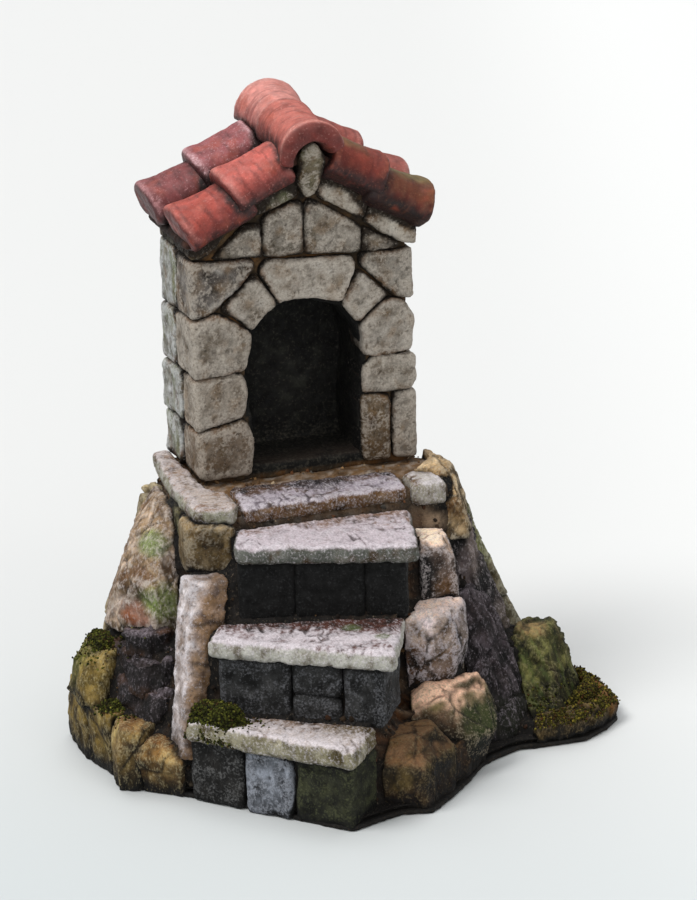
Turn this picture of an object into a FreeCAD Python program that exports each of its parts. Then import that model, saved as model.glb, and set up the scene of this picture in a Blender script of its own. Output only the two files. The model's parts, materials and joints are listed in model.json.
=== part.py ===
import FreeCAD, Part
import Sketcher
import os
import math

# Tabletop terrain piece: a small wayside shrine of rough stone on a rocky
# outcrop, with a winding stair of four slabs and a pantiled gable roof.
# Frame: millimetres, +Z up, -Y is the side the niche opens to, origin on the
# underside of the base board at the middle of the piece's footprint.

os.makedirs("parts", exist_ok=True)
doc = FreeCAD.newDocument("wayside_shrine")
sheet = doc.addObject("Spreadsheet::Sheet", "Sizes")
sheet.Label = "Sizes"
_row = [0]
_cells = {}


def cell(alias, value, note=""):
    """One driving size: column A says what it is, column B holds the number."""
    _row[0] += 1
    sheet.set("A%d" % _row[0], note or alias)
    sheet.set("B%d" % _row[0], "%g" % value)
    sheet.setAlias("B%d" % _row[0], alias)
    _cells[alias] = float(value)
    return "Sizes." + alias


# Shift from the tower's own centre line to the middle of the footprint.
cell("shift_x", -2.0, "tower axis to piece origin, along X")
cell("shift_y", 13.67, "tower front to piece origin, along Y")

cell("board_thick", 1.2, "base board thickness")
cell("foot_level", 39.5, "top of the landing the tower stands on")
cell("stair_one", 13.0, "top of the lowest slab")
cell("stair_two", 24.8, "top of the second slab")
cell("stair_three", 36.3, "top of the third slab")
cell("stair_sill", 38.8, "top of the sill slab")
cell("slab_one_thick", 3.0, "lowest slab thickness")
cell("slab_two_thick", 2.7, "second slab thickness")
cell("slab_three_thick", 2.6, "third slab thickness")
cell("sill_thick", 2.5, "sill slab thickness")
cell("kerb_thick", 2.6, "kerb bar thickness")
cell("stone_edge", 0.45, "worn edge on dressed stones")
cell("slab_edge", 0.5, "worn edge on the slabs")
cell("joint_inset", 1.0, "mortar set back behind the stone faces")
cell("wall_stone_deep", 3.0, "how deep a wall stone goes into the mortar")
cell("niche_deep", 11.0, "niche depth from the mortar face")
cell("tower_deep", 17.4, "tower front to back")
cell("tile_thick", 1.3, "pantile thickness")
cell("deck_thick", 1.2, "roof bedding thickness")
doc.recompute()

SX = _cells["shift_x"]
SY = _cells["shift_y"]
SHIFT = FreeCAD.Vector(SX, SY, 0)
NODES = []      # (node name, object)
CUTTERS_TOWER = []
CUTTERS_ROCK = []


def plane(body, role):
    for o in body.Origin.OriginFeatures:
        if o.Role == role:
            return o
    raise RuntimeError("no plane " + role)


def sketch(body, name, role, pts, off):
    sk = body.newObject("Sketcher::SketchObject", name)
    sk.AttachmentSupport = [(plane(body, role), "")]
    sk.MapMode = "FlatFace"
    n = len(pts)
    for i in range(n):
        a, b = pts[i], pts[(i + 1) % n]
        sk.addGeometry(Part.LineSegment(FreeCAD.Vector(a[0], a[1], 0),
                                        FreeCAD.Vector(b[0], b[1], 0)), False)
    cons = []
    for i in range(n):
        cons.append(Sketcher.Constraint("Coincident", i, 2, (i + 1) % n, 1))
    sk.addConstraint(cons)
    if isinstance(off, str):
        sk.setExpression("AttachmentOffset.Base.z", off)
    else:
        sk.AttachmentOffset = FreeCAD.Placement(FreeCAD.Vector(0, 0, off),
                                                FreeCAD.Rotation())
    sk.Visibility = False
    return sk


def finish_body(body, edge):
    if edge:
        base = body.Tip
        ch = body.newObject("PartDesign::Chamfer", body.Name + "_worn")
        ch.Base = (base, ["Edge1"])
        ch.UseAllEdges = True
        ch.setExpression("Size", edge)
        body.Tip = ch
    body.Placement = FreeCAD.Placement(SHIFT, FreeCAD.Rotation())
    return body


def up(name, pts, low, high, edge="Sizes.stone_edge"):
    """Prism standing on a level: outline in X, Y; from low to high."""
    b = doc.addObject("PartDesign::Body", name)
    b.Label = name
    lo = low if isinstance(low, str) else cell(name + "_low", low, name + " underside")
    hi = high if isinstance(high, str) else cell(name + "_top", high, name + " top")
    sk = sketch(b, name + "_plan", "XY_Plane", pts, lo)
    pad = b.newObject("PartDesign::Pad", name + "_pad")
    pad.Profile = sk
    pad.setExpression("Length", "(%s) - (%s)" % (hi, lo))
    b.Tip = pad
    return finish_body(b, edge)


def front(name, pts, face, deep, edge="Sizes.stone_edge"):
    """Stone seen from the front: outline in X, Z; its face at Y=face, going deep into +Y."""
    b = doc.addObject("PartDesign::Body", name)
    b.Label = name
    fa = cell(name + "_face", face, name + " face, from the tower front")
    de = deep if isinstance(deep, str) else cell(name + "_deep", deep, name + " depth")
    sk = sketch(b, name + "_face_outline", "XZ_Plane", pts, "-(%s)" % fa)
    pad = b.newObject("PartDesign::Pad", name + "_pad")
    pad.Profile = sk
    pad.setExpression("Length", de)
    pad.Reversed = True
    b.Tip = pad
    return finish_body(b, edge)


def side(name, pts, face, deep, toward, edge="Sizes.stone_edge"):
    """Stone seen from the side: outline in Y, Z; its face at X=face, going deep toward +X (1) or -X (-1)."""
    b = doc.addObject("PartDesign::Body", name)
    b.Label = name
    fa = cell(name + "_face", face, name + " face, from the tower axis")
    de = deep if isinstance(deep, str) else cell(name + "_deep", deep, name + " depth")
    sk = sketch(b, name + "_face_outline", "YZ_Plane", pts, fa)
    pad = b.newObject("PartDesign::Pad", name + "_pad")
    pad.Profile = sk
    pad.setExpression("Length", de)
    pad.Reversed = (toward < 0)
    b.Tip = pad
    return finish_body(b, edge)


def rock(name, rings, edge=None):
    """Rough rock: outlines at rising levels joined by straight facets."""
    b = doc.addObject("PartDesign::Body", name)
    b.Label = name
    sks = []
    for i, (lev, pts) in enumerate(rings):
        le = lev if isinstance(lev, str) else cell("%s_ring%s" % (name, "abcdef"[i]), lev, "%s outline %d level" % (name, i + 1))
        sks.append(sketch(b, "%s_ring_%d" % (name, i + 1), "XY_Plane", pts, le))
    lo = b.newObject("PartDesign::AdditiveLoft", name + "_loft")
    lo.Profile = sks[0]
    lo.Sections = sks[1:]
    lo.Ruled = True
    b.Tip = lo
    return finish_body(b, edge)


def group(name, members):
    g = doc.addObject("Part::Compound", name)
    g.Label = name
    g.Links = members
    return g


def node(name, obj):
    NODES.append((name, obj))
    return obj


# ---------------------------------------------------------------- base board
OUT = [(-38.8, 3.0), (-39.0, -5.1), (-38.7, -9.0), (-36.9, -15.2), (-37.2, -21.1),
       (-34.4, -22.4), (-29.4, -26.9), (-22.6, -33.9), (-16.7, -40.9), (-9.9, -48.5),
       (-4.9, -46.6), (-1.3, -45.4), (3.1, -46.4), (8.2, -41.8), (12.5, -37.1),
       (16.0, -32.8), (19.3, -30.8), (23.1, -28.9), (26.1, -29.3), (33.9, -29.4),
       (38.4, -26.5), (41.6, -23.3), (43.4, -17.6), (42.0, -9.5), (38.2, -2.0),
       (35.5, 7.0), (28.5, 15.2), (19.0, 20.6), (6.5, 22.3), (-7.5, 22.0),
       (-19.5, 20.8), (-29.5, 16.5), (-36.0, 10.0)]
node("base_board", up("base_board", OUT, "0", "Sizes.board_thick", edge=None))

B = "Sizes.board_thick"

# ---------------------------------------------------------------- stair slabs
T1 = [(-29.3, -29.6), (-19.6, -40.2), (-9.9, -50.0), (-3.6, -41.7), (-5.3, -40.6), (-20.2, -30.8), (-25.6, -27.4)]
T2 = [(-25.0, -29.0), (-13.5, -37.2), (-1.6, -44.6), (4.9, -30.2), (-21.5, -23.2)]
T3 = [(-18.6, -23.4), (-6.0, -28.2), (6.4, -32.4), (10.8, -15.9), (-16.8, -15.1)]
SILL = [(-14.6, -14.1), (11.5, -12.8), (12.2, -4.4), (-13.4, -3.0)]
STUB = [(12.4, -12.9), (17.8, -13.1), (17.6, -6.6), (13.1, -6.2)]
node("tread_1", up("tread_1", T1, "Sizes.stair_one - Sizes.slab_one_thick", "Sizes.stair_one", "Sizes.slab_edge"))
node("tread_2", up("tread_2", T2, "Sizes.stair_two - Sizes.slab_two_thick", "Sizes.stair_two", "Sizes.slab_edge"))
node("tread_3", up("tread_3", T3, "Sizes.stair_three - Sizes.slab_three_thick", "Sizes.stair_three", "Sizes.slab_edge"))
node("sill_slab", up("sill_slab", SILL, "Sizes.stair_sill - Sizes.sill_thick", "Sizes.stair_sill", "Sizes.slab_edge"))
node("sill_stub", up("sill_stub", STUB, "Sizes.stair_sill - 3.4", "Sizes.stair_sill + 0.1", "Sizes.slab_edge"))


def strip(a, b, t0, t1, back, proud=0.0):
    """Footprint of a riser block along the line a-b, from t0 to t1 of it, going back behind it."""
    dx, dy = b[0] - a[0], b[1] - a[1]
    ln = math.hypot(dx, dy)
    ux, uy = dx / ln, dy / ln
    nx, ny = -uy, ux          # behind the face
    if ny < 0:
        nx, ny = -nx, -ny
    out = []
    for t, d in ((t0, -proud), (t1, -proud), (t1, back), (t0, back)):
        out.append((a[0] + dx * t + nx * d, a[1] + dy * t + ny * d))
    return out


# riser blocks: the line is the face of the riser, left to right
r1a, r1b = (-28.3, -28.7), (-9.5, -48.4)
riser_1 = [up("riser_1_left", strip(r1a, r1b, 0.01, 0.315, 5.0), B, "Sizes.stair_one - Sizes.slab_one_thick"),
           up("riser_1_middle", strip(r1a, r1b, 0.35, 0.62, 5.0, 0.3), B, "Sizes.stair_one - Sizes.slab_one_thick - 0.3"),
           up("riser_1_right", strip(r1a, r1b, 0.66, 0.985, 7.5, 0.1), B, "Sizes.stair_one - Sizes.slab_one_thick")]
node("riser_1_blocks", group("riser_1_blocks", riser_1))
r2a, r2b = (-23.6, -28.2), (-2.4, -42.4)
z2 = "Sizes.stair_two - Sizes.slab_two_thick"
riser_2 = [up("riser_2_left", strip(r2a, r2b, 0.015, 0.43, 6.0), "Sizes.stair_one", z2),
           up("riser_2_middle_low", strip(r2a, r2b, 0.455, 0.73, 6.0, 0.2), "Sizes.stair_one", 16.6),
           up("riser_2_middle_high", strip(r2a, r2b, 0.455, 0.735, 6.0, 0.0), 16.9, z2),
           up("riser_2_right", strip(r2a, r2b, 0.76, 0.985, 9.0, 0.1), "Sizes.stair_one", z2)]
node("riser_2_blocks", group("riser_2_blocks", riser_2))
r3a, r3b = (-18.4, -22.2), (5.4, -30.7)
z3 = "Sizes.stair_three - Sizes.slab_three_thick"
riser_3 = [up("riser_3_left", strip(r3a, r3b, 0.015, 0.33, 5.0), "Sizes.stair_two", z3),
           up("riser_3_middle", strip(r3a, r3b, 0.345, 0.735, 5.0, 0.15), "Sizes.stair_two", z3),
           up("riser_3_right", strip(r3a, r3b, 0.75, 0.985, 7.0, 0.0), "Sizes.stair_two", z3)]
node("riser_3_blocks", group("riser_3_blocks", riser_3))

# ---------------------------------------------------------------- left kerb and stringer
node("left_kerb", up("left_kerb", [(-20.6, 15.8), (-22.0, 3.0), (-22.5, -10.0), (-22.2, -15.2), (-16.6, -16.2), (-15.6, -14.3), (-15.4, -7.5), (-17.9, -5.0), (-17.95, 15.8)],
                     "Sizes.foot_level + 0.4 - Sizes.kerb_thick", "Sizes.foot_level + 0.4", "Sizes.slab_edge"))
kb = [up("kerb_block_front", [(-23.4, -15.6), (-17.7, -16.9), (-17.2, -12.6), (-22.8, -9.4)], 30.6, "Sizes.foot_level + 0.3 - Sizes.kerb_thick", "Sizes.slab_edge"),
      up("kerb_block_rear", [(-22.9, -9.0), (-19.0, -9.2), (-19.0, -2.0), (-22.6, -1.6)], 31.6, "Sizes.foot_level + 0.3 - Sizes.kerb_thick")]
node("left_kerb_blocks", group("left_kerb_blocks", kb))
node("left_stringer", rock("left_stringer", [
    (6.5, [(-30.4, -24.6), (-29.6, -27.9), (-28.0, -28.7), (-26.3, -27.1), (-27.0, -22.6)]),
    (15.5, [(-28.9, -22.6), (-28.2, -26.3), (-26.6, -27.3), (-24.6, -26.3), (-25.0, -20.8)]),
    (24.9, [(-27.0, -18.8), (-26.0, -22.9), (-23.6, -24.0), (-20.6, -22.9), (-21.4, -17.4)]),
    (30.4, [(-25.2, -15.6), (-24.4, -19.8), (-22.0, -20.6), (-18.9, -20.3), (-19.2, -15.4)])]))

# ---------------------------------------------------------------- right cheek stones
node("cheek_stone_1", rock("cheek_stone_1", [
    (24.9, [(10.2, -23.2), (15.9, -22.7), (17.0, -16.4), (11.6, -15.4)]),
    (33.1, [(10.4, -21.9), (15.8, -21.3), (16.8, -15.8), (11.9, -14.4)]),
    (34.3, [(11.0, -20.6), (15.0, -20.2), (15.9, -16.0), (12.2, -15.0)])]))
node("cheek_stone_2", rock("cheek_stone_2", [
    (14.2, [(6.8, -28.6), (12.2, -28.3), (14.8, -24.5), (14.8, -22.4), (7.2, -23.0)]),
    (20.6, [(5.8, -28.8), (13.2, -28.9), (15.6, -26.4), (16.6, -22.6), (8.4, -22.8)]),
    (24.0, [(6.2, -27.6), (12.9, -27.6), (15.2, -26.3), (16.6, -23.6), (9.0, -23.4)]),
    (24.85, [(8.0, -26.8), (12.6, -26.8), (14.6, -25.8), (15.8, -23.9), (9.6, -24.0)])]))
node("cheek_stone_3", rock("cheek_stone_3", [
    (8.6, [(11.6, -27.0), (14.4, -26.4), (15.8, -22.0), (12.0, -22.0)]),
    (14.0, [(12.6, -26.6), (14.9, -25.8), (16.0, -22.2), (13.0, -22.2)])]))
node("cheek_stone_4", rock("cheek_stone_4", [
    (4.4, [(5.6, -34.6), (11.6, -35.2), (15.2, -32.4), (16.4, -27.4), (7.4, -27.6)]),
    (8.6, [(3.6, -34.6), (11.2, -36.2), (16.4, -33.6), (18.2, -28.0), (5.6, -27.4)]),
    (12.6, [(4.6, -32.6), (11.6, -33.4), (15.0, -31.8), (17.2, -28.2), (6.6, -27.2)]),
    (13.7, [(7.0, -31.2), (11.6, -31.6), (14.4, -30.6), (16.0, -28.6), (8.2, -28.2)])]))
node("cheek_stone_5", rock("cheek_stone_5", [
    (B, [(-2.6, -43.6), (1.9, -45.6), (7.9, -40.6), (7.6, -36.0), (0.4, -36.0)]),
    (6.4, [(-2.4, -42.6), (2.4, -44.6), (8.4, -39.9), (8.2, -35.6), (0.6, -35.8)]),
    (9.4, [(-0.6, -40.2), (2.6, -41.2), (6.0, -38.6), (6.0, -35.8), (1.4, -35.8)])]))
node("cheek_stone_6", rock("cheek_stone_6", [
    (B, [(8.8, -39.8), (11.8, -37.0), (15.6, -32.6), (14.0, -31.0), (9.2, -34.4)]),
    (5.6, [(9.0, -38.6), (11.6, -36.2), (15.2, -32.4), (13.8, -31.0), (9.4, -34.0)])]))

# ---------------------------------------------------------------- left crag, boulder, columns, ledges
node("left_crag", rock("left_crag", [
    (20.2, [(-33.6, -3.2), (-32.4, -9.0), (-29.2, -12.2), (-25.4, -12.0), (-23.8, -4.0), (-24.0, 7.0), (-29.6, 6.0)]),
    (26.0, [(-32.2, -2.2), (-31.0, -8.4), (-28.6, -11.2), (-25.0, -11.2), (-23.6, -4.0), (-23.6, 7.0), (-28.4, 6.0)]),
    (32.4, [(-28.8, -1.0), (-28.0, -6.8), (-26.6, -8.8), (-24.2, -8.6), (-23.2, -4.0), (-23.0, 7.0), (-26.0, 6.0)]),
    (37.0, [(-24.6, 0.2), (-24.8, -3.4), (-24.4, -5.4), (-23.4, -5.4), (-23.0, -2.0), (-22.6, 6.6), (-23.6, 6.0)])]))
node("left_boulder", rock("left_boulder", [
    (9.7, [(-39.2, -1.5), (-39.4, -9.0), (-37.0, -11.6), (-33.8, -10.0), (-33.0, -4.0), (-34.6, 2.6)]),
    (14.2, [(-38.6, -2.0), (-38.6, -8.4), (-36.6, -10.6), (-33.9, -9.6), (-33.6, -4.2), (-34.8, 1.8)]),
    (16.9, [(-37.2, -3.0), (-37.0, -7.4), (-35.6, -9.2), (-34.0, -8.8), (-34.0, -4.6), (-35.2, 0.6)])]))
cols = [rock("column_rear", [
            (B, [(-38.4, 2.4), (-38.6, -4.6), (-38.2, -8.6), (-34.0, -8.0), (-33.0, 2.6)]),
            (9.5, [(-38.4, 2.2), (-39.0, -5.0), (-38.6, -9.0), (-34.2, -8.4), (-33.2, 2.4)])]),
        rock("column_mid", [
            (B, [(-38.0, -9.0), (-36.5, -15.0), (-32.6, -13.4), (-33.6, -8.4)]),
            (9.2, [(-38.4, -9.4), (-37.1, -15.2), (-33.0, -13.8), (-34.0, -8.8)])]),
        rock("column_front", [
            (B, [(-36.1, -15.8), (-36.8, -20.9), (-34.4, -22.0), (-29.6, -19.4), (-31.6, -14.4)]),
            (6.6, [(-36.3, -16.4), (-37.0, -22.1), (-34.2, -23.1), (-29.4, -19.6), (-31.8, -14.6)]),
            (9.2, [(-35.6, -16.8), (-36.2, -21.0), (-33.8, -21.8), (-29.8, -19.2), (-32.0, -15.2)])]),
        rock("column_toe", [
            (B, [(-33.8, -22.4), (-29.5, -26.6), (-26.8, -23.4), (-30.0, -20.2)]),
            (5.6, [(-34.5, -23.6), (-29.6, -27.8), (-26.6, -23.6), (-29.9, -20.4)]),
            (7.6, [(-33.0, -23.4), (-29.8, -26.2), (-27.2, -23.4), (-30.0, -20.8)])])]
node("left_columns", group("left_columns", cols))
led = [up("ledge_top", [(-33.4, -10.4), (-30.2, -13.6), (-25.9, -13.9), (-24.6, -4.0), (-32.6, -4.0)], 17.3, 20.0, None),
       up("ledge_middle", [(-33.2, -12.6), (-32.4, -16.6), (-27.6, -17.4), (-26.2, -15.6), (-24.4, -4.0), (-32.6, -4.0)], 13.4, 17.0, None),
       up("ledge_low", [(-33.4, -14.0), (-33.0, -18.4), (-29.8, -20.6), (-27.6, -19.4), (-26.4, -8.0), (-32.4, -8.0)], 9.6, 13.1, None)]
node("left_ledges", group("left_ledges", led))

# ---------------------------------------------------------------- right rocks
node("landing_rock", rock("landing_rock", [
    (33.4, [(13.4, -11.6), (19.9, -11.9), (21.4, -5.0), (21.6, 5.0), (18.6, 5.2), (18.4, -2.0)]),
    (36.8, [(13.8, -5.4), (19.1, -11.6), (20.6, -5.6), (20.2, 3.6), (18.2, 4.0), (18.0, -2.0)]),
    (39.2, [(15.4, -4.9), (18.8, -7.4), (19.8, -4.8), (18.9, 1.8), (18.2, 2.2), (17.9, -1.8)])]))
node("right_slab", rock("right_slab", [
    (B, [(31.0, -3.4), (37.4, -2.4), (37.6, 0.9), (31.0, 0.6)]),
    (23.0, [(24.6, -3.4), (28.3, -2.6), (28.5, 0.7), (24.6, 0.4)]),
    (32.6, [(21.3, -3.6), (24.2, -2.8), (24.3, 0.2), (21.4, 0.2)]),
    (37.6, [(20.8, -3.8), (21.7, -3.2), (21.7, -0.4), (20.9, -0.4)])]))
node("right_dark_rock", rock("right_dark_rock", [
    (10.0, [(17.6, -15.0), (24.0, -15.4), (29.4, -11.4), (30.6, -4.2), (18.6, -4.2)]),
    (20.0, [(17.6, -14.0), (23.0, -13.4), (26.6, -10.0), (27.0, -4.2), (18.6, -4.2)]),
    (28.6, [(17.8, -12.2), (21.6, -12.2), (23.2, -9.6), (23.2, -4.4), (18.6, -4.2)]),
    (33.2, [(17.9, -10.6), (19.8, -10.8), (21.2, -8.6), (21.3, -4.6), (18.6, -4.4)])]))
node("right_striated_rock", rock("right_striated_rock", [
    (B, [(17.4, -29.4), (23.4, -27.4), (26.2, -23.0), (26.0, -15.6), (17.4, -15.6)]),
    (7.0, [(18.6, -24.0), (23.6, -23.2), (26.6, -20.4), (26.6, -15.6), (17.6, -15.6)]),
    (16.4, [(17.6, -19.8), (21.6, -19.4), (24.6, -17.2), (24.2, -15.6), (17.4, -15.6)]),
    (21.6, [(17.6, -17.4), (19.8, -17.2), (21.4, -16.4), (21.4, -15.5), (17.6, -15.4)])]))
node("mossy_boulder", rock("mossy_boulder", [
    (B, [(26.6, -26.6), (33.0, -25.8), (38.0, -19.6), (38.4, -11.0), (35.6, -4.8), (31.2, -5.0), (27.0, -14.0)]),
    (5.6, [(26.9, -22.0), (32.2, -21.8), (36.9, -17.6), (37.2, -11.4), (34.8, -5.6), (31.2, -5.8), (27.2, -14.0)]),
    (10.4, [(27.8, -18.4), (32.0, -18.6), (35.6, -15.6), (35.8, -11.6), (33.6, -7.6), (31.6, -7.8), (27.8, -13.4)]),
    (13.2, [(29.6, -15.4), (32.0, -16.0), (34.4, -14.6), (34.7, -12.0), (33.2, -9.6), (31.6, -9.6), (29.4, -12.6)])]))
node("toe_shelf", rock("toe_shelf", [
    (B, [(26.6, -28.6), (33.4, -28.6), (37.8, -26.0), (40.9, -23.0), (42.8, -17.6), (41.4, -9.8), (38.9, -9.0), (38.6, -19.8), (33.2, -26.4), (26.8, -27.2)]),
    (3.0, [(26.8, -28.9), (33.6, -29.0), (38.0, -26.4), (41.2, -23.2), (43.0, -17.6), (41.2, -10.0), (38.8, -9.2), (38.0, -19.2), (33.0, -25.2), (26.8, -25.6)]),
    (4.0, [(27.6, -27.2), (33.4, -27.2), (37.2, -24.8), (39.8, -22.0), (41.4, -17.6), (40.2, -11.2), (38.2, -10.4), (37.7, -18.6), (32.9, -24.2), (27.6, -24.4)])]))

# ---------------------------------------------------------------- rear rocks
node("rear_rock_left", rock("rear_rock_left", [
    (B, [(-37.2, 3.2), (-34.6, 9.4), (-28.8, 15.2), (-19.2, 19.8), (-14.0, 20.0), (-14.0, 12.0), (-32.0, 3.4)]),
    (11.0, [(-34.2, 3.8), (-31.8, 9.6), (-25.6, 15.2), (-19.6, 18.2), (-14.0, 20.6), (-14.0, 12.0), (-30.0, 3.8)]),
    (19.0, [(-30.6, 7.4), (-28.0, 11.4), (-25.4, 13.4), (-19.8, 18.4), (-14.0, 18.8), (-14.0, 12.0), (-25.4, 7.4)]),
    (27.0, [(-26.6, 7.6), (-25.4, 11.8), (-22.6, 15.6), (-19.8, 17.0), (-14.2, 19.2), (-14.2, 12.0), (-24.2, 7.4)]),
    (36.2, [(-22.9, 7.4), (-22.6, 12.0), (-21.2, 15.4), (-19.0, 16.6), (-14.6, 17.8), (-14.6, 14.0), (-22.2, 7.2)])]))
node("rear_rock_middle", rock("rear_rock_middle", [
    (B, [(-13.6, 20.4), (-6.4, 21.6), (1.8, 20.6), (10.6, 21.4), (10.6, 14.0), (-13.6, 14.0)]),
    (12.0, [(-13.6, 20.8), (-7.0, 20.2), (3.0, 21.8), (10.6, 20.2), (10.6, 14.0), (-13.6, 14.0)]),
    (23.0, [(-13.6, 18.6), (-4.0, 20.8), (2.0, 19.4), (10.6, 20.2), (10.6, 14.0), (-13.6, 14.0)]),
    (31.0, [(-13.8, 19.6), (-6.0, 19.0), (4.0, 20.4), (10.6, 18.4), (10.6, 14.0), (-13.8, 14.0)]),
    (39.0, [(-14.0, 18.0), (-8.0, 18.8), (2.0, 18.4), (10.8, 18.6), (10.8, 17.6), (-14.0, 17.6)])]))
node("rear_rock_right", rock("rear_rock_right", [
    (B, [(11.0, 20.8), (18.8, 19.6), (27.6, 14.2), (33.6, 6.8), (35.4, 2.0), (30.4, 1.8), (11.0, 12.0)]),
    (10.0, [(11.0, 21.0), (17.6, 18.4), (26.6, 13.4), (29.8, 8.4), (31.6, 2.0), (29.0, 1.8), (11.0, 12.0)]),
    (19.0, [(11.0, 18.8), (18.6, 18.8), (22.2, 14.6), (27.2, 6.4), (28.0, 1.8), (24.0, 1.6), (11.0, 12.0)]),
    (28.0, [(11.0, 19.2), (16.4, 17.4), (21.8, 12.0), (22.8, 7.4), (24.4, 1.6), (21.8, 1.4), (11.0, 12.0)]),
    (37.0, [(11.2, 18.2), (16.2, 17.8), (19.2, 12.4), (20.2, 7.4), (20.0, 5.0), (18.4, 5.4), (11.2, 17.6)])]))

# ---------------------------------------------------------------- tower front stones
quoin = {
    "quoin_left_1": ([(-17.0, 39.6), (-9.2, 39.7), (-8.8, 44.9), (-10.1, 48.2), (-17.2, 46.7)], -0.15, 8.2),
    "quoin_left_2": ([(-17.4, 47.4), (-16.0, 47.5), (-9.9, 48.9), (-9.5, 52.9), (-10.5, 55.5), (-17.5, 55.0)], -0.05, 6.4),
    "quoin_left_3": ([(-17.6, 55.7), (-16.6, 55.9), (-9.7, 56.3), (-8.4, 61.7), (-13.6, 65.3), (-17.5, 64.1)], -0.25, 9.0),
    "quoin_right_1": ([(9.0, 39.7), (13.2, 39.6), (13.3, 49.4), (9.0, 49.8)], 0.0, 4.6),
    "quoin_right_2": ([(14.0, 39.6), (17.4, 39.5), (17.5, 49.5), (14.1, 49.8)], -0.1, 7.6),
    "quoin_right_3": ([(9.3, 50.5), (16.6, 50.3), (17.5, 51.4), (17.5, 55.6), (11.0, 55.9), (9.3, 54.0)], -0.1, 8.6),
    "quoin_right_4": ([(9.5, 56.9), (10.4, 56.3), (17.0, 56.4), (17.4, 61.4), (15.9, 64.1), (13.2, 64.9), (9.2, 61.4)], -0.2, 6.2),
}
tower_stones = []
for nm, (pts, fa, de) in quoin.items():
    tower_stones.append(node(nm, front(nm, pts, fa, de)))
arch = {
    "voussoir_left": ([(-12.8, 66.0), (-7.6, 70.8), (-4.5, 66.1), (-8.2, 62.3)], -0.1, 5.0),
    "keystone": ([(-6.9, 71.6), (-5.6, 72.7), (7.5, 72.0), (8.1, 70.4), (5.8, 65.6), (1.3, 66.5), (-1.6, 66.6), (-4.1, 66.2)], -0.35, 5.0),
    "voussoir_right": ([(8.9, 69.8), (13.2, 65.7), (8.6, 61.9), (6.3, 65.2)], -0.15, 5.0),
    "spandrel_left": ([(-17.5, 73.6), (-8.0, 73.0), (-7.6, 71.6), (-13.5, 66.2), (-17.4, 64.8)], 0.0, 7.4),
    "spandrel_right": ([(9.2, 72.3), (17.3, 72.2), (17.3, 65.0), (16.4, 64.8), (14.1, 65.6), (9.4, 70.5)], 0.05, 8.2),
}
for nm, (pts, fa, de) in arch.items():
    tower_stones.append(node(nm, front(nm, pts, fa, de)))
tymp = [front("tympanum_far_left", [(-14.2, 74.0), (-6.4, 73.7), (-6.4, 78.2), (-8.8, 78.6)], 0.25, 3.0),
        front("tympanum_left", [(-5.8, 73.6), (0.1, 73.4), (0.3, 81.0), (-0.9, 81.5), (-5.8, 79.6)], 0.1, 3.0),
        front("tympanum_right", [(0.7, 73.4), (9.1, 72.9), (9.4, 76.8), (2.2, 81.3), (0.8, 81.2)], 0.0, 3.0),
        front("tympanum_far_right", [(9.7, 73.0), (15.0, 72.9), (15.0, 73.8), (10.0, 76.4)], 0.25, 3.0, "0.2")]
tower_stones.append(node("tympanum_stones", group("tympanum_stones", tymp)))
vl = [front("verge_left_low", [(-17.3, 74.3), (-15.2, 74.4), (-9.7, 79.0), (-9.8, 80.9), (-17.3, 75.9)], 0.1, 3.2),
      front("verge_left_high", [(-9.2, 79.4), (-6.2, 80.3), (-0.9, 82.4), (-0.9, 84.8), (-2.6, 85.8), (-9.2, 81.6)], -0.3, 3.2)]
tower_stones.append(node("verge_stones_left", group("verge_stones_left", vl)))
vr = [front("verge_right_low", [(10.0, 77.3), (15.6, 73.8), (17.8, 73.3), (18.0, 76.2), (11.2, 80.7)], -0.35, 3.4),
      front("verge_right_high", [(2.7, 82.0), (9.6, 77.9), (10.8, 81.0), (4.6, 85.3), (3.2, 85.6)], -0.25, 3.2)]
tower_stones.append(node("verge_stones_right", group("verge_stones_right", vr)))
tower_stones.append(node("apex_stone", front("apex_stone", [(-0.6, 84.0), (1.0, 82.1), (2.7, 83.3), (3.2, 85.9), (1.6, 87.6), (-0.4, 86.8)], -0.5, 3.6)))

# side and back walls: stones behind the quoins, on the same courses
W = "Sizes.wall_stone_deep"
left = [side("left_wall_1", [(8.8, 39.6), (17.2, 39.6), (17.2, 46.3), (8.8, 46.9)], -17.5, W, 1),
        side("left_wall_2", [(7.1, 47.5), (16.9, 46.9), (17.1, 54.4), (7.0, 55.0)], -17.7, W, 1),
        side("left_wall_3", [(9.6, 55.6), (17.2, 55.1), (17.1, 63.4), (9.5, 63.9)], -17.6, W, 1),
        side("left_wall_4", [(8.1, 64.6), (17.0, 64.0), (17.2, 74.0), (8.0, 74.0)], -17.3, W, 1),
        side("left_wall_cap", [(3.9, 74.5), (17.0, 74.5), (17.0, 75.8), (3.9, 75.8)], -17.2, W, 1, None)]
tower_stones.append(node("left_wall_stones", group("left_wall_stones", left)))
right = [side("right_wall_1", [(8.2, 39.6), (17.1, 39.6), (17.1, 47.6), (8.2, 48.4)], 17.4, W, -1),
         side("right_wall_2", [(9.2, 49.2), (17.2, 48.4), (17.0, 55.2), (9.2, 55.6)], 17.5, W, -1),
         side("right_wall_3", [(6.8, 56.4), (17.0, 55.9), (17.1, 63.6), (6.7, 64.1)], 17.3, W, -1),
         side("right_wall_4", [(8.8, 64.9), (17.1, 64.3), (17.0, 73.4), (8.8, 73.6)], 17.4, W, -1),
         side("right_wall_cap", [(3.8, 74.3), (17.0, 74.2), (17.0, 76.0), (3.8, 76.0)], 17.5, W, -1, None)]
tower_stones.append(node("right_wall_stones", group("right_wall_stones", right)))
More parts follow.
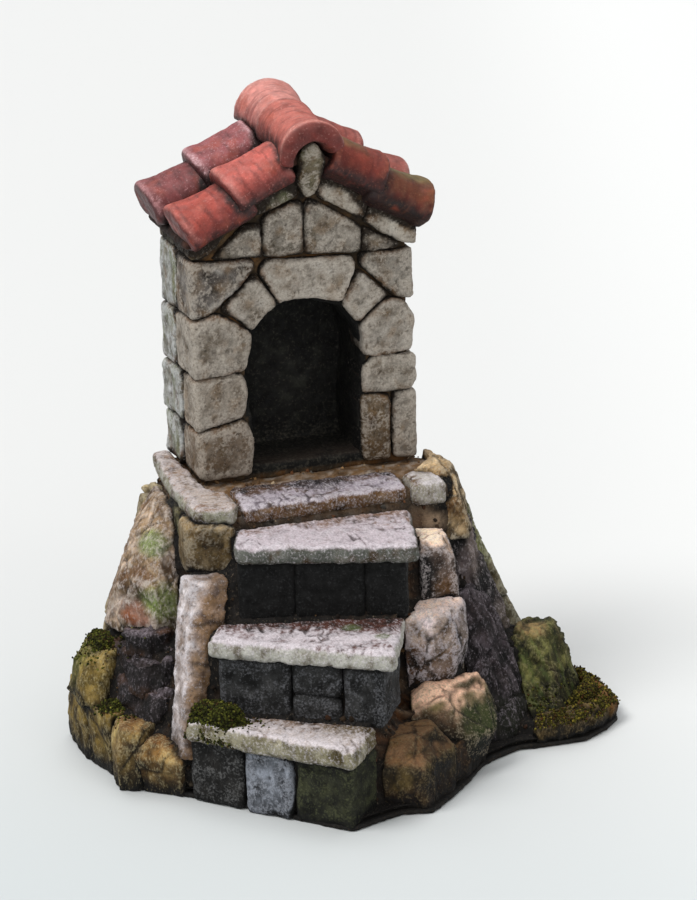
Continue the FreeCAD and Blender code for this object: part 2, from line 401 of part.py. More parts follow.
bk = [("back_wall_1", [(-14.0, 39.9), (-2.4, 39.9), (-2.2, 47.4), (-14.0, 47.0)]),
      ("back_wall_2", [(-1.6, 39.9), (13.9, 39.9), (13.9, 47.8), (-1.5, 47.5)]),
      ("back_wall_3", [(-14.1, 47.8), (-6.2, 48.2), (-6.4, 55.6), (-14.0, 55.2)]),
      ("back_wall_4", [(-5.5, 48.2), (5.8, 48.4), (5.6, 55.6), (-5.7, 55.6)]),
      ("back_wall_5", [(6.6, 48.5), (13.9, 48.6), (13.9, 55.4), (6.4, 55.6)]),
      ("back_wall_6", [(-14.0, 56.0), (-1.0, 56.4), (-1.2, 64.4), (-14.0, 63.8)]),
      ("back_wall_7", [(-0.3, 56.4), (13.9, 56.2), (13.9, 64.2), (-0.5, 64.5)]),
      ("back_wall_8", [(-14.0, 64.6), (-7.0, 65.0), (-7.2, 73.2), (-14.0, 73.0)]),
      ("back_wall_9", [(-6.3, 65.1), (5.0, 65.3), (4.8, 73.4), (-6.5, 73.2)]),
      ("back_wall_10", [(5.8, 65.3), (13.9, 65.0), (13.9, 73.0), (5.6, 73.4)]),
      ("back_wall_11", [(-13.4, 74.0), (-3.6, 74.1), (-3.8, 83.4), (-13.4, 77.2)]),
      ("back_wall_12", [(-2.8, 74.1), (4.6, 74.2), (4.4, 83.6), (0.8, 86.2), (-3.0, 84.0)]),
      ("back_wall_13", [(5.4, 74.2), (14.2, 73.8), (14.2, 77.4), (5.2, 83.4)])]
cell("back_face", 14.6, "front of the back wall stones")
backs = []
for nm, pts in bk:
    backs.append(front(nm, pts, 14.5, 2.9))
tower_stones.append(node("back_wall_stones", group("back_wall_stones", backs)))

# mortar core of the tower, with the arched niche
core = doc.addObject("PartDesign::Body", "mortar_blank")
sk = sketch(core, "core_outline", "XZ_Plane",
            [(-16.5, 38.3), (16.4, 38.3), (16.6, 75.4), (0.8, 86.6), (-16.4, 75.4)], "-(Sizes.joint_inset)")
pad = core.newObject("PartDesign::Pad", "core_pad")
pad.Profile = sk
pad.setExpression("Length", "Sizes.tower_deep - 2 * Sizes.joint_inset")
pad.Reversed = True
core.Tip = pad
doc.recompute()
v0 = core.Shape.Volume
NICHE = [(-8.7, 40.4), (8.9, 40.4), (8.7, 48.0), (9.3, 53.8), (9.5, 57.0), (8.6, 60.9), (6.4, 64.4),
         (1.4, 66.1), (-1.7, 66.1), (-5.0, 65.4), (-8.3, 62.0), (-9.5, 56.4), (-9.5, 52.9), (-8.6, 48.0)]
sk = sketch(core, "niche_outline", "XZ_Plane", NICHE, "-(Sizes.joint_inset)")
pk = core.newObject("PartDesign::Pocket", "niche_pocket")
pk.Profile = sk
pk.setExpression("Length", "Sizes.niche_deep")
pk.Reversed = False
core.Tip = pk
doc.recompute()
if core.Shape.Volume > v0 - 1000:
    pk.Reversed = True
    doc.recompute()
if core.Shape.Volume > v0 - 1000:
    raise RuntimeError("the niche pocket cuts nothing")
core.Placement = FreeCAD.Placement(SHIFT, FreeCAD.Rotation())
shrine_core = doc.addObject("Part::Cut", "shrine_core")
shrine_core.Label = "shrine_core"
tool = doc.addObject("Part::Compound", "tower_stone_seats")
tool.Links = tower_stones
shrine_core.Base = core
shrine_core.Tool = tool
node("shrine_core", shrine_core)

# ---------------------------------------------------------------- roof
cell("deck_front", -1.6, "roof bedding front edge")
cell("deck_long", 21.4, "roof bedding front to back")
deck = doc.addObject("PartDesign::Body", "roof_deck")
deck.Label = "roof_deck"
dt = _cells["deck_thick"]
sk = sketch(deck, "deck_section", "XZ_Plane",
            [(-18.6, 76.0), (-17.2, 76.3), (0.8, 88.7), (17.8, 76.5), (18.7, 76.1), (18.8, 77.2),
             (17.4, 78.2), (3.2, 88.6), (0.8, 89.7), (-1.6, 88.7), (-16.8, 78.2), (-18.7, 77.0)], "-(Sizes.deck_front)")
pad = deck.newObject("PartDesign::Pad", "deck_pad")
pad.Profile = sk
pad.setExpression("Length", "Sizes.deck_long")
pad.Reversed = True
deck.Tip = pad
deck.Placement = FreeCAD.Placement(SHIFT, FreeCAD.Rotation())
node("roof_deck", deck)


def arc_band(half, high, thick, n=8, drop=0.0):
    """Half-round band: outer arc, then the inner arc back; half width and height of the outside."""
    outer, inner = [], []
    for i in range(n + 1):
        a = math.pi * i / n
        outer.append((half * math.cos(a), high * math.sin(a) - drop))
        inner.append(((half - thick) * math.cos(a), (high - thick) * math.sin(a) - drop))
    return outer + inner[::-1]


def tile(name, low_end, high_end, half_low, half_high, tall_low, tall_high, roll=0.0):
    """Half-round tile running from its low end to its high end (points under its middle)."""
    a = FreeCAD.Vector(*low_end)
    b = FreeCAD.Vector(*high_end)
    ln = (b - a).Length
    t = _cells["tile_thick"]
    body = doc.addObject("PartDesign::Body", name)
    body.Label = name
    s1 = sketch(body, name + "_low", "XY_Plane", arc_band(half_low, tall_low, t), 0.0)
    s2 = sketch(body, name + "_high", "XY_Plane", arc_band(half_high, tall_high, t), cell(name + "_long", ln, name + " length"))
    lo = body.newObject("PartDesign::AdditiveLoft", name + "_loft")
    lo.Profile = s1
    lo.Sections = [s2]
    lo.Ruled = True
    body.Tip = lo
    # local z along the tile, local x across it, local y up out of the roof
    d = (b - a).normalize()
    across = FreeCAD.Vector(0, 1, 0) if abs(d.y) < 0.5 else FreeCAD.Vector(1, 0, 0)
    upv = d.cross(across)
    if upv.z < 0:
        across = across * -1
        upv = d.cross(across)
    upv.normalize()
    m = FreeCAD.Matrix(across.x, upv.x, d.x, a.x, across.y, upv.y, d.y, a.y, across.z, upv.z, d.z, a.z, 0, 0, 0, 1)
    turn = FreeCAD.Placement(FreeCAD.Vector(0, 0, 0), FreeCAD.Rotation(FreeCAD.Vector(0, 0, 1), roll))
    body.Placement = FreeCAD.Placement(SHIFT, FreeCAD.Rotation()).multiply(FreeCAD.Placement(m)).multiply(turn)
    return body


YF, YB = 2.4, 14.9
tl = [tile("tile_left_front_low", (-19.7, YF, 77.4), (-9.0, YF, 82.2), 6.3, 5.5, 4.5, 4.0),
      tile("tile_left_front_high", (-12.0, YF + 0.3, 82.4), (-2.6, YF + 0.2, 87.0), 6.3, 5.6, 4.6, 4.1),
      tile("tile_left_rear_low", (-19.7, YB, 77.6), (-9.4, YB, 82.0), 6.2, 5.4, 4.6, 4.0),
      tile("tile_left_rear_high", (-12.3, YB + 0.1, 82.1), (-2.8, YB, 86.9), 6.2, 5.6, 4.6, 4.1)]
tr = [tile("tile_right_front_low", (19.6, YF, 77.3), (10.2, YF, 82.4), 6.0, 5.4, 4.2, 3.8),
      tile("tile_right_front_high", (12.2, YF + 0.2, 82.6), (4.2, YF, 87.3), 6.0, 5.5, 4.3, 4.0),
      tile("tile_right_rear_low", (20.0, YB + 0.2, 77.4), (10.6, YB, 82.2), 6.0, 5.3, 4.2, 3.8),
      tile("tile_right_rear_high", (12.4, YB, 82.4), (4.4, YB, 86.9), 6.0, 5.5, 4.3, 4.0)]
node("roof_tiles_left", group("roof_tiles_left", tl))
node("roof_tiles_right", group("roof_tiles_right", tr))
node("ridge_tile_front", tile("ridge_tile_front", (0.7, -5.2, 89.4), (0.8, 9.8, 90.6), 4.8, 4.7, 4.8, 4.8, -13.0))
node("ridge_tile_rear", tile("ridge_tile_rear", (0.8, 8.2, 89.7), (1.7, 21.8, 90.3), 4.4, 5.5, 4.4, 5.7, 0.0))

# ---------------------------------------------------------------- moss tufts
mo = [rock("moss_left_high", [(17.0, [(-37.2, -4.4), (-36.4, -8.4), (-33.9, -8.6), (-33.9, -3.6), (-35.4, -1.6)]),
                              (19.0, [(-36.4, -4.6), (-35.8, -7.4), (-34.2, -7.4), (-34.0, -4.4), (-35.4, -3.0)])]),
      rock("moss_left_low", [(9.4, [(-38.2, -12.0), (-36.6, -15.0), (-33.9, -13.6), (-34.6, -12.0)]),
                             (11.0, [(-37.2, -12.2), (-36.2, -14.2), (-34.6, -13.2), (-35.0, -12.2)])]),
      rock("moss_tread", [(13.05, [(-27.8, -28.8), (-23.6, -33.4), (-20.0, -32.6), (-22.6, -29.6), (-25.2, -27.9)]),
                          (15.6, [(-26.6, -29.2), (-23.8, -31.8), (-22.0, -31.4), (-23.4, -29.8), (-25.0, -28.8)])]),
      rock("moss_right_toe", [(4.05, [(32.6, -24.0), (37.6, -23.2), (39.8, -20.0), (40.4, -13.6), (38.4, -12.0), (38.1, -18.4)]),
                              (5.7, [(33.9, -23.6), (37.0, -22.6), (38.8, -19.6), (39.4, -14.6), (38.7, -13.8), (38.2, -18.2)])])]
node("moss_tufts", group("moss_tufts", mo))

# ---------------------------------------------------------------- inner rock mass
fill = [up("fill_low", [(-29.0, -19.0), (-27.0, -22.2), (-23.8, -24.6), (-22.0, -25.2), (-4.0, -37.0), (1.0, -34.6), (3.0, -27.4), (17.2, -26.0), (17.2, -15.2), (26.4, -15.0), (30.6, -4.6), (30.0, 1.6), (11.0, 11.6), (10.4, 13.8), (-13.4, 13.8), (-13.8, 11.4), (-31.8, 3.0), (-32.4, -8.0)],
           B, 9.5, None),
        up("fill_second", [(-28.0, -7.6), (-25.9, -8.0), (-25.9, -18.0), (-20.6, -21.8), (-4.4, -32.4), (1.0, -29.4), (6.6, -22.4), (17.0, -21.4), (17.4, -4.0), (30.0, -3.6), (24.6, 1.6), (10.8, 11.6), (10.4, 13.8), (-13.4, 13.8), (-13.8, 11.4), (-30.8, 3.0), (-31.0, -3.8)],
           9.55, 20.0, None),
        up("fill_third", [(-23.2, -11.4), (-23.2, -15.0), (-18.8, -15.6), (-16.6, -17.0), (0.4, -23.0), (9.6, -22.0), (9.9, -15.0), (17.4, -14.8), (18.4, -4.0), (24.4, -3.6), (21.0, 1.6), (10.8, 11.6), (10.4, 13.8), (-13.6, 13.8), (-13.8, 11.4), (-23.4, 9.0), (-23.4, -4.0)],
           20.05, 33.6, None),
        up("fill_landing", [(-22.2, -1.2), (-18.8, -1.6), (-18.8, -12.2), (-17.0, -12.4), (-16.6, -14.9), (11.0, -15.6), (11.8, -13.2), (13.0, -13.6), (18.0, -10.6), (18.2, 5.4), (10.9, 17.4), (-14.2, 17.4), (-22.0, 9.4)],
           33.65, 36.25, None),
        up("fill_foot", [(-17.8, 16.8), (-17.8, -5.2), (-15.3, -7.7), (-15.3, -13.0), (-14.7, -13.0), (-13.4, -2.9), (12.3, -4.3), (13.1, -4.9), (15.2, -4.7), (17.8, -1.8), (18.0, 5.5), (11.0, 17.4), (-14.2, 17.4)],
           36.3, "Sizes.foot_level", None)]
node("rock_fill", group("rock_fill", fill))

# ---------------------------------------------------------------- check and write
doc.recompute()
bad = []
for o in doc.Objects:
    st = [str(x) for x in o.State]
    if any(("Invalid" in x) or ("Error" in x) for x in st):
        bad.append("%s: %s" % (o.Name, st))
for nm, o in NODES:
    s = o.Shape
    if s.isNull() or not s.isValid():
        bad.append("%s: null or invalid shape" % nm)
    elif not s.Solids:
        bad.append("%s: no solid" % nm)
if bad:
    raise RuntimeError("failed: " + "; ".join(bad))
for nm, o in NODES:
    o.Shape.exportStep("parts/%s.step" % nm)
box = FreeCAD.BoundBox()
for nm, o in NODES:
    box.add(o.Shape.BoundBox)
print("nodes", len(NODES), "solids", sum(len(o.Shape.Solids) for _, o in NODES))
print("box", [round(v, 2) for v in (box.XMin, box.YMin, box.ZMin, box.XMax, box.YMax, box.ZMax)])
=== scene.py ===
import bmesh
import bpy
import json
import math
import numpy as np
from mathutils import Matrix, Vector


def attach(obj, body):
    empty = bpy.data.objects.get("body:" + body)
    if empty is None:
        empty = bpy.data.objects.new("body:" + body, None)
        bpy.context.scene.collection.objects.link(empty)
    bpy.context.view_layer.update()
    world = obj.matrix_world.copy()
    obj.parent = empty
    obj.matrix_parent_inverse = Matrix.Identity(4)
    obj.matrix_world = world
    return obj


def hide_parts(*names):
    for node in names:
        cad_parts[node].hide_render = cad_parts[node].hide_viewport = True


# A painted tabletop terrain piece: stone shrine, pantile roof, slab stair and rocks.
# Each CAD node is re-meshed, worn and painted here. Lengths below are millimetres in the
# tower's own frame (tower front at y = 0, axis at x = 0); SHIFT takes that to the row frame.

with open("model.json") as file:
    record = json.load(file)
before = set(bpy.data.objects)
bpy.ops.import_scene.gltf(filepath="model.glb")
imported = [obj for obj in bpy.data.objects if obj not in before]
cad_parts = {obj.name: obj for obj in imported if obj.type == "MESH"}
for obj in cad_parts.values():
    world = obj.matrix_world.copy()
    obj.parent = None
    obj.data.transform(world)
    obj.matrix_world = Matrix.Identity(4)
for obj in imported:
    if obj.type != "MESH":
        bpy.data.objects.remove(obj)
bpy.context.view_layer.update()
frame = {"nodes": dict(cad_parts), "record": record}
SHIFT = np.array([-2.0, 13.67, 0.0])
MM = 0.001


# ------------------------------------------------------------------ numpy noise
def _h(ix, iy, iz, seed):
    with np.errstate(over="ignore"):
        h = (ix.astype(np.uint32) * np.uint32(374761393)
             + iy.astype(np.uint32) * np.uint32(668265263)
             + iz.astype(np.uint32) * np.uint32(2246822519)
             + np.uint32((seed * 3266489917 + 12345) & 0xFFFFFFFF))
        h = (h ^ (h >> np.uint32(13))) * np.uint32(1274126177)
        h = (h ^ (h >> np.uint32(16))) * np.uint32(2654435769)
        return h ^ (h >> np.uint32(15))


_ROT = np.array([[0.00, 0.80, 0.60], [-0.80, 0.36, -0.48], [-0.60, -0.48, 0.64]])


def gnoise(P, size, seed=0):
    """Gradient noise, about -1..1, with features `size` mm across."""
    Q = (P @ _ROT.T) / size + seed * 17.31
    I = np.floor(Q).astype(np.int64)
    F = Q - I
    U = F * F * F * (F * (F * 6 - 15) + 10)
    out = np.zeros(len(P))
    for dx in (0, 1):
        wx = U[:, 0] if dx else 1 - U[:, 0]
        for dy in (0, 1):
            wy = U[:, 1] if dy else 1 - U[:, 1]
            for dz in (0, 1):
                wz = U[:, 2] if dz else 1 - U[:, 2]
                h = _h(I[:, 0] + dx, I[:, 1] + dy, I[:, 2] + dz, seed)
                gx = (h & np.uint32(1023)).astype(float) / 511.5 - 1
                gy = ((h >> np.uint32(10)) & np.uint32(1023)).astype(float) / 511.5 - 1
                gz = ((h >> np.uint32(20)) & np.uint32(1023)).astype(float) / 511.5 - 1
                out += wx * wy * wz * (gx * (F[:, 0] - dx) + gy * (F[:, 1] - dy) + gz * (F[:, 2] - dz))
    return np.clip(out * 1.5, -1, 1)


def fbm(P, size, seed=0, octaves=3, gain=0.5):
    out = np.zeros(len(P))
    a, tot = 1.0, 0.0
    for o in range(octaves):
        out += a * gnoise(P, size / (2.03 ** o), seed + o * 7)
        tot += a
        a *= gain
    return out / tot


def worley(P, size, seed=0):
    """(distance to nearest cell point, distance to second, random 0..1 of the nearest cell, random slope within it)."""
    Q = (P @ _ROT.T) / size + seed * 3.7
    I = np.floor(Q).astype(np.int64)
    d1 = np.full(len(P), 9.0)
    d2 = np.full(len(P), 9.0)
    cid = np.zeros(len(P))
    tilt = np.zeros(len(P))
    for dx in (-1, 0, 1):
        for dy in (-1, 0, 1):
            for dz in (-1, 0, 1):
                J = I + (dx, dy, dz)
                h = _h(J[:, 0], J[:, 1], J[:, 2], seed + 91)
                px = J[:, 0] + (h & np.uint32(1023)).astype(float) / 1023
                py = J[:, 1] + ((h >> np.uint32(10)) & np.uint32(1023)).astype(float) / 1023
                pz = J[:, 2] + ((h >> np.uint32(20)) & np.uint32(1023)).astype(float) / 1023
                d = np.sqrt((Q[:, 0] - px) ** 2 + (Q[:, 1] - py) ** 2 + (Q[:, 2] - pz) ** 2)
                near = d < d1
                d2 = np.where(near, d1, np.minimum(d2, d))
                cid = np.where(near, (h & np.uint32(65535)).astype(float) / 65535, cid)
                a = (h >> np.uint32(5)).astype(float) * 0.0137
                b = (h >> np.uint32(9)).astype(float) * 0.0211
                sl = np.cos(a) * (Q[:, 0] - px) + np.sin(a) * np.cos(b) * (Q[:, 1] - py) + np.sin(a) * np.sin(b) * (Q[:, 2] - pz)
                tilt = np.where(near, sl, tilt)
                d1 = np.where(near, d, d1)
    return d1, d2, cid, tilt


def sstep(a, b, x):
    t = np.clip((x - a) / (b - a), 0, 1)
    return t * t * (3 - 2 * t)


def lin(rgb):
    c = np.array(rgb, float) / 255.0
    return np.where(c <= 0.04045, c / 12.92, ((c + 0.055) / 1.055) ** 2.4)


def mix(a, b, t):
    t = np.asarray(t)[:, None]
    return a * (1 - t) + b * t


# ------------------------------------------------------------------ mesh helpers
def node_arrays(name):
    """Welded vertices (mm, tower frame) and triangles of a CAD node."""
    me = frame["nodes"][name].data
    co = np.zeros(len(me.vertices) * 3)
    me.vertices.foreach_get("co", co)
    co = co.reshape(-1, 3) / MM - SHIFT
    me.calc_loop_triangles()
    tri = np.zeros(len(me.loop_triangles) * 3, np.int64)
    me.loop_triangles.foreach_get("vertices", tri)
    tri = tri.reshape(-1, 3)
    key = np.round(co, 3)
    uniq, inv = np.unique(key, axis=0, return_inverse=True)
    inv = inv.reshape(-1)
    tri = inv[tri]
    ok = (tri[:, 0] != tri[:, 1]) & (tri[:, 1] != tri[:, 2]) & (tri[:, 0] != tri[:, 2])
    return uniq, tri[ok]


def loose(co, tri):
    """Splits a triangle soup into its separate solids."""
    lab = np.arange(len(co))
    while True:
        m = lab[tri].min(1)
        new = lab.copy()
        for k in range(3):
            np.minimum.at(new, tri[:, k], m)
        new = new[new]
        if (new == lab).all():
            break
        lab = new
    out = []
    for g in np.unique(lab[tri[:, 0]]):
        t = tri[lab[tri[:, 0]] == g]
        idx, inv = np.unique(t, return_inverse=True)
        out.append((co[idx], inv.reshape(-1, 3)))
    out.sort(key=lambda p: tuple(np.round(p[0].mean(0), 2)))
    return out


def remesh(co, faces, voxel):
    me = bpy.data.meshes.new("tmp")
    me.from_pydata([tuple(v) for v in co], [], [tuple(int(i) for i in f) for f in faces])
    ob = bpy.data.objects.new("tmp", me)
    bpy.context.scene.collection.objects.link(ob)
    md = ob.modifiers.new("r", "REMESH")
    md.mode = "VOXEL"
    md.voxel_size = voxel
    md.adaptivity = 0.0
    dg = bpy.context.evaluated_depsgraph_get()
    ev = ob.evaluated_get(dg)
    m2 = ev.to_mesh()
    n = len(m2.vertices)
    v = np.zeros(n * 3)
    m2.vertices.foreach_get("co", v)
    fc = np.zeros(len(m2.loops), np.int64)
    m2.loops.foreach_get("vertex_index", fc)
    tot = np.zeros(len(m2.polygons), np.int64)
    m2.polygons.foreach_get("loop_total", tot)
    ev.to_mesh_clear()
    bpy.data.objects.remove(ob)
    bpy.data.meshes.remove(me)
    assert (tot == 4).all()
    return v.reshape(-1, 3), fc.reshape(-1, 4)


def hull(co):
    """Convex hull of some points, as vertices and triangles."""
    bm = bmesh.new()
    for p in co:
        bm.verts.new(tuple(p))
    res = bmesh.ops.convex_hull(bm, input=bm.verts)
    junk = list({g for g in res["geom_interior"] + res["geom_unused"] if isinstance(g, bmesh.types.BMVert)})
    bmesh.ops.delete(bm, geom=junk, context="VERTS")
    bmesh.ops.triangulate(bm, faces=bm.faces)
    bm.normal_update()
    bm.verts.index_update()
    v = np.array([x.co[:] for x in bm.verts])
    t = np.array([[x.index for x in f.verts] for f in bm.faces])
    bm.free()
    return v, t


def joined(*parts):
    off, V, T = 0, [], []
    for v, t in parts:
        V.append(v)
        T.append(t + off)
        off += len(v)
    return np.concatenate(V), np.concatenate(T)


def pantile(low, high, half, tall, roll=0.0, drop=1.6, flare=1.06, waist=0.97, high_end=1.0, n=26, m=22):
    """Solid hand-made pantile: a rounded bar with a thick lip at its low end, resting on `drop` mm of clay."""
    a, b = np.array(low, float), np.array(high, float)
    d_ = b - a
    ln = np.linalg.norm(d_)
    d_ /= ln
    ac = np.array((0, 1.0, 0)) if abs(d_[1]) < 0.5 else np.array((1.0, 0, 0))
    up = np.cross(d_, ac)
    if up[2] < 0:
        ac = -ac
        up = np.cross(d_, ac)
    cr, sr = math.cos(math.radians(roll)), math.sin(math.radians(roll))
    ac, up = ac * cr + up * sr, up * cr - ac * sr
    V, T = [], []
    stations = [(0.0, 0.72), (0.004, 0.86), (0.02, 0.95)] + [(t, 1.0) for t in np.linspace(0.055, 0.96, m)] + [(0.985, 0.95), (1.0, 0.82)]
    for t, k in stations:
        if t < 0.5:
            f = waist + (flare - waist) * (1 - sstep(0.06, 0.34, t))
        else:
            f = waist + (high_end - waist) * sstep(0.5, 1.0, t)
        f = float(f) * k
        h0 = half[0] + (half[1] - half[0]) * t
        t0_ = tall[0] + (tall[1] - tall[0]) * t
        ring = []
        for i in range(n):
            th = -0.30 + (math.pi + 0.60) * i / (n - 1)
            ring.append((h0 * f * math.cos(th), max(-drop, t0_ * f * math.sin(th) if th > 0 and th < math.pi else drop * 1.5 * math.sin(th) * 1.0)))
        ring += [(-0.55 * h0 * f, -drop * f), (0.0, -drop * f), (0.55 * h0 * f, -drop * f)]
        for x, z in ring:
            V.append(a + d_ * ln * t + ac * x + up * z)
    k = n + 3
    for s_ in range(len(stations) - 1):
        for i in range(k):
            j = (i + 1) % k
            p0, p1, p2, p3 = s_ * k + i, s_ * k + j, (s_ + 1) * k + j, (s_ + 1) * k + i
            T += [(p0, p1, p2), (p0, p2, p3)]
    for s_, flip in ((0, True), (len(stations) - 1, False)):
        c_ = len(V)
        V.append(np.mean(V[s_ * k:(s_ + 1) * k], axis=0))
        for i in range(k):
            j = (i + 1) % k
            T.append((c_, s_ * k + j, s_ * k + i) if flip else (c_, s_ * k + i, s_ * k + j))
    return np.array(V), np.array(T)


YF, YB = 2.4, 14.9
TILES = {
    "roof_tiles_left": [
        dict(low=(-19.6, YB, 78.3), high=(-9.2, YB, 82.8), half=(6.1, 5.6), tall=(4.8, 4.2)),
        dict(low=(-18.3, YF, 77.3), high=(-7.6, YF, 82.1), half=(6.2, 5.7), tall=(4.7, 4.3), drop=2.0),
        dict(low=(-11.9, YB + 0.1, 82.7), high=(-2.2, YB, 87.4), half=(6.1, 5.7), tall=(4.8, 4.3)),
        dict(low=(-10.8, YF + 0.3, 82.1), high=(-1.4, YF + 0.2, 86.7), half=(6.2, 5.7), tall=(4.9, 4.4), drop=2.0)],
    "roof_tiles_right": [
        dict(low=(12.6, YF + 0.2, 83.0), high=(4.0, YF, 87.6), half=(5.7, 5.5), tall=(4.2, 4.0), drop=2.7),
        dict(low=(12.4, YB, 83.4), high=(3.6, YB, 88.3), half=(5.9, 5.6), tall=(4.5, 4.2), drop=2.7),
        dict(low=(19.9, YF, 78.1), high=(10.2, YF, 82.9), half=(5.7, 5.4), tall=(4.2, 3.9), drop=2.7),
        dict(low=(20.0, YB + 0.2, 78.5), high=(10.4, YB, 83.2), half=(5.9, 5.4), tall=(4.4, 4.0), drop=2.7)],
    "ridge_tile_front": [dict(low=(0.7, -5.4, 89.5), high=(0.8, 9.8, 90.8), half=(4.9, 4.75), tall=(5.0, 4.9), roll=-13.0, drop=0.9, flare=1.05,
                              waist=0.90, high_end=1.0)],
    "ridge_tile_rear": [dict(low=(0.8, 8.4, 90.2), high=(1.6, 21.8, 90.7), half=(4.4, 5.5), tall=(4.4, 5.5), drop=1.2, flare=1.0, waist=0.97,
                             high_end=1.03)],
}


class Surf:
    """A quad surface held in numpy."""

    def __init__(self, v, q, h):
        self.v, self.q, self.h = v, q, h
        e = np.concatenate([q[:, [0, 1]], q[:, [1, 2]], q[:, [2, 3]], q[:, [3, 0]]])
        e.sort(axis=1)
        self.e = np.unique(e, axis=0)
        n = len(v)
        self.deg = np.bincount(self.e.ravel(), minlength=n).astype(float)
        self.deg[self.deg == 0] = 1

    def mean(self, x):
        a, b = self.e[:, 0], self.e[:, 1]
        n = len(self.v)
        if x.ndim == 1:
            return (np.bincount(a, x[b], n) + np.bincount(b, x[a], n)) / self.deg
        return np.stack([self.mean(x[:, k]) for k in range(x.shape[1])], 1)

    def smooth(self, length, f=0.6):
        """Rounds everything sharper than about `length` mm."""
        for _ in range(max(1, int(round((length / self.h) ** 2)))):
            self.v = self.v * (1 - f) + self.mean(self.v) * f

    def normals(self):
        a, b, c, d = (self.v[self.q[:, k]] for k in range(4))
        fn = np.cross(c - a, d - b)
        n = np.zeros_like(self.v)
        for k in range(4):
            for j in range(3):
                n[:, j] += np.bincount(self.q[:, k], fn[:, j], len(self.v))
        ln = np.linalg.norm(n, axis=1)
        ln[ln == 0] = 1
        return n / ln[:, None]

    def curvature(self, length):
        """Positive on ridges and corners, negative in hollows: mm moved by rounding at `length` mm."""
        s = self.v.copy()
        for _ in range(max(1, int(round((length / self.h) ** 2)))):
            s = s * 0.4 + self.mean(s) * 0.6
        return ((self.v - s) * self.normals()).sum(1)


# ------------------------------------------------------------------ shaping recipes
def warp(s, amp, size, seed):
    s.v = s.v + amp * np.stack([fbm(s.v, size, seed + k * 31, 2) for k in range(3)], 1)


def grown(s, by, seed):
    """Closes up the joints: every face moves out a little, unevenly."""
    s.v = s.v + s.normals() * (by * (1 + 0.45 * fbm(s.v, 5.0, seed + 71, 1)))[:, None]


def dressed(s, seed, lump=0.12, chip=0.14, pit=0.16, round_=0.26, grow=0.30, warped=0.30, tilt=0.045):
    """Dressed stone: flat faces set at slightly different angles, crisp but nicked arrises, pitted skin."""
    if tilt:
        m = s.v.mean(0)
        t1, t2 = (s.rnd - 0.5) * 2 * tilt, (((s.rnd * 7.3) % 1.0) - 0.5) * 2 * tilt
        off = t1 * (s.v[:, 0] - m[0]) + t2 * (s.v[:, 2] - m[2])
        s.v[:, 1] += np.clip(off, -0.3, 0.3)
    warp(s, warped, 3.6, seed)
    s.smooth(round_)
    if grow:
        m = (s.v.max(0) + s.v.min(0)) / 2
        s.v = m + (s.v - m) * (1 + 2 * grow / np.maximum(s.v.max(0) - s.v.min(0), 1.5))
    n = s.normals()
    edge = sstep(0.03, 0.14, s.curvature(0.9))
    ch = sstep(0.0, 0.35, fbm(s.v, 1.3, seed + 5, 2)) * edge
    f1 = fbm(s.v, 4.0, seed + 11, 2)
    f2 = fbm(s.v, 1.0, seed + 13, 3)
    p = fbm(s.v, 0.80, seed + 17, 2)
    d = lump * f1 + 0.08 * f2 - chip * ch - pit * sstep(0.16, 0.45, p) * (0.4 + 0.6 * sstep(-0.2, 0.3, fbm(s.v, 3.0, seed + 19, 1)))
    s.v = s.v + n * d[:, None]


def slab(s, seed, round_=0.30, grow=0.15):
    """Tread slab: split edges, fine cracks across it, a nearly flat top."""
    warp(s, 0.30, 4.0, seed)
    s.smooth(round_)
    if grow:
        grown(s, grow, seed)
    n = s.normals()
    edge = sstep(0.03, 0.13, s.curvature(1.0))
    side = 1 - sstep(0.3, 0.7, np.abs(n[:, 2]))
    ch = sstep(-0.05, 0.35, fbm(s.v, 1.7, seed + 5, 2)) * edge
    split = fbm(s.v * (1, 1, 0.35), 1.5, seed + 15, 3)
    f1 = fbm(s.v, 4.0, seed + 11, 2)
    f2 = fbm(s.v * (1.6, 0.5, 1), 1.1, seed + 13, 3)
    r = 1 - np.abs(fbm(s.v * (1.6, 0.55, 1), 3.4, seed + 3, 2)) * 11
    crack = np.clip(r, 0, 1) * sstep(0.0, 0.35, fbm(s.v, 5, seed + 41, 1))
    s.crack = crack
    d = 0.08 * f1 + 0.07 * f2 + 0.22 * side * split - 0.26 * ch - 0.14 * crack * (1 - side)
    s.v = s.v + n * d[:, None]


def hewn(s, seed, count, depth, upright=0.7):
    """Knocks flat breaks off the bulges: each is a plane the stone may not stick out of."""
    rg = np.random.default_rng(seed)
    m = s.v.mean(0)
    for _ in range(count):
        d = rg.normal(size=3)
        d[2] *= upright
        d /= np.linalg.norm(d)
        pr = (s.v - m) @ d
        cut = pr.max() - depth * (0.35 + rg.random())
        s.v = s.v - np.maximum(0, pr - cut)[:, None] * d


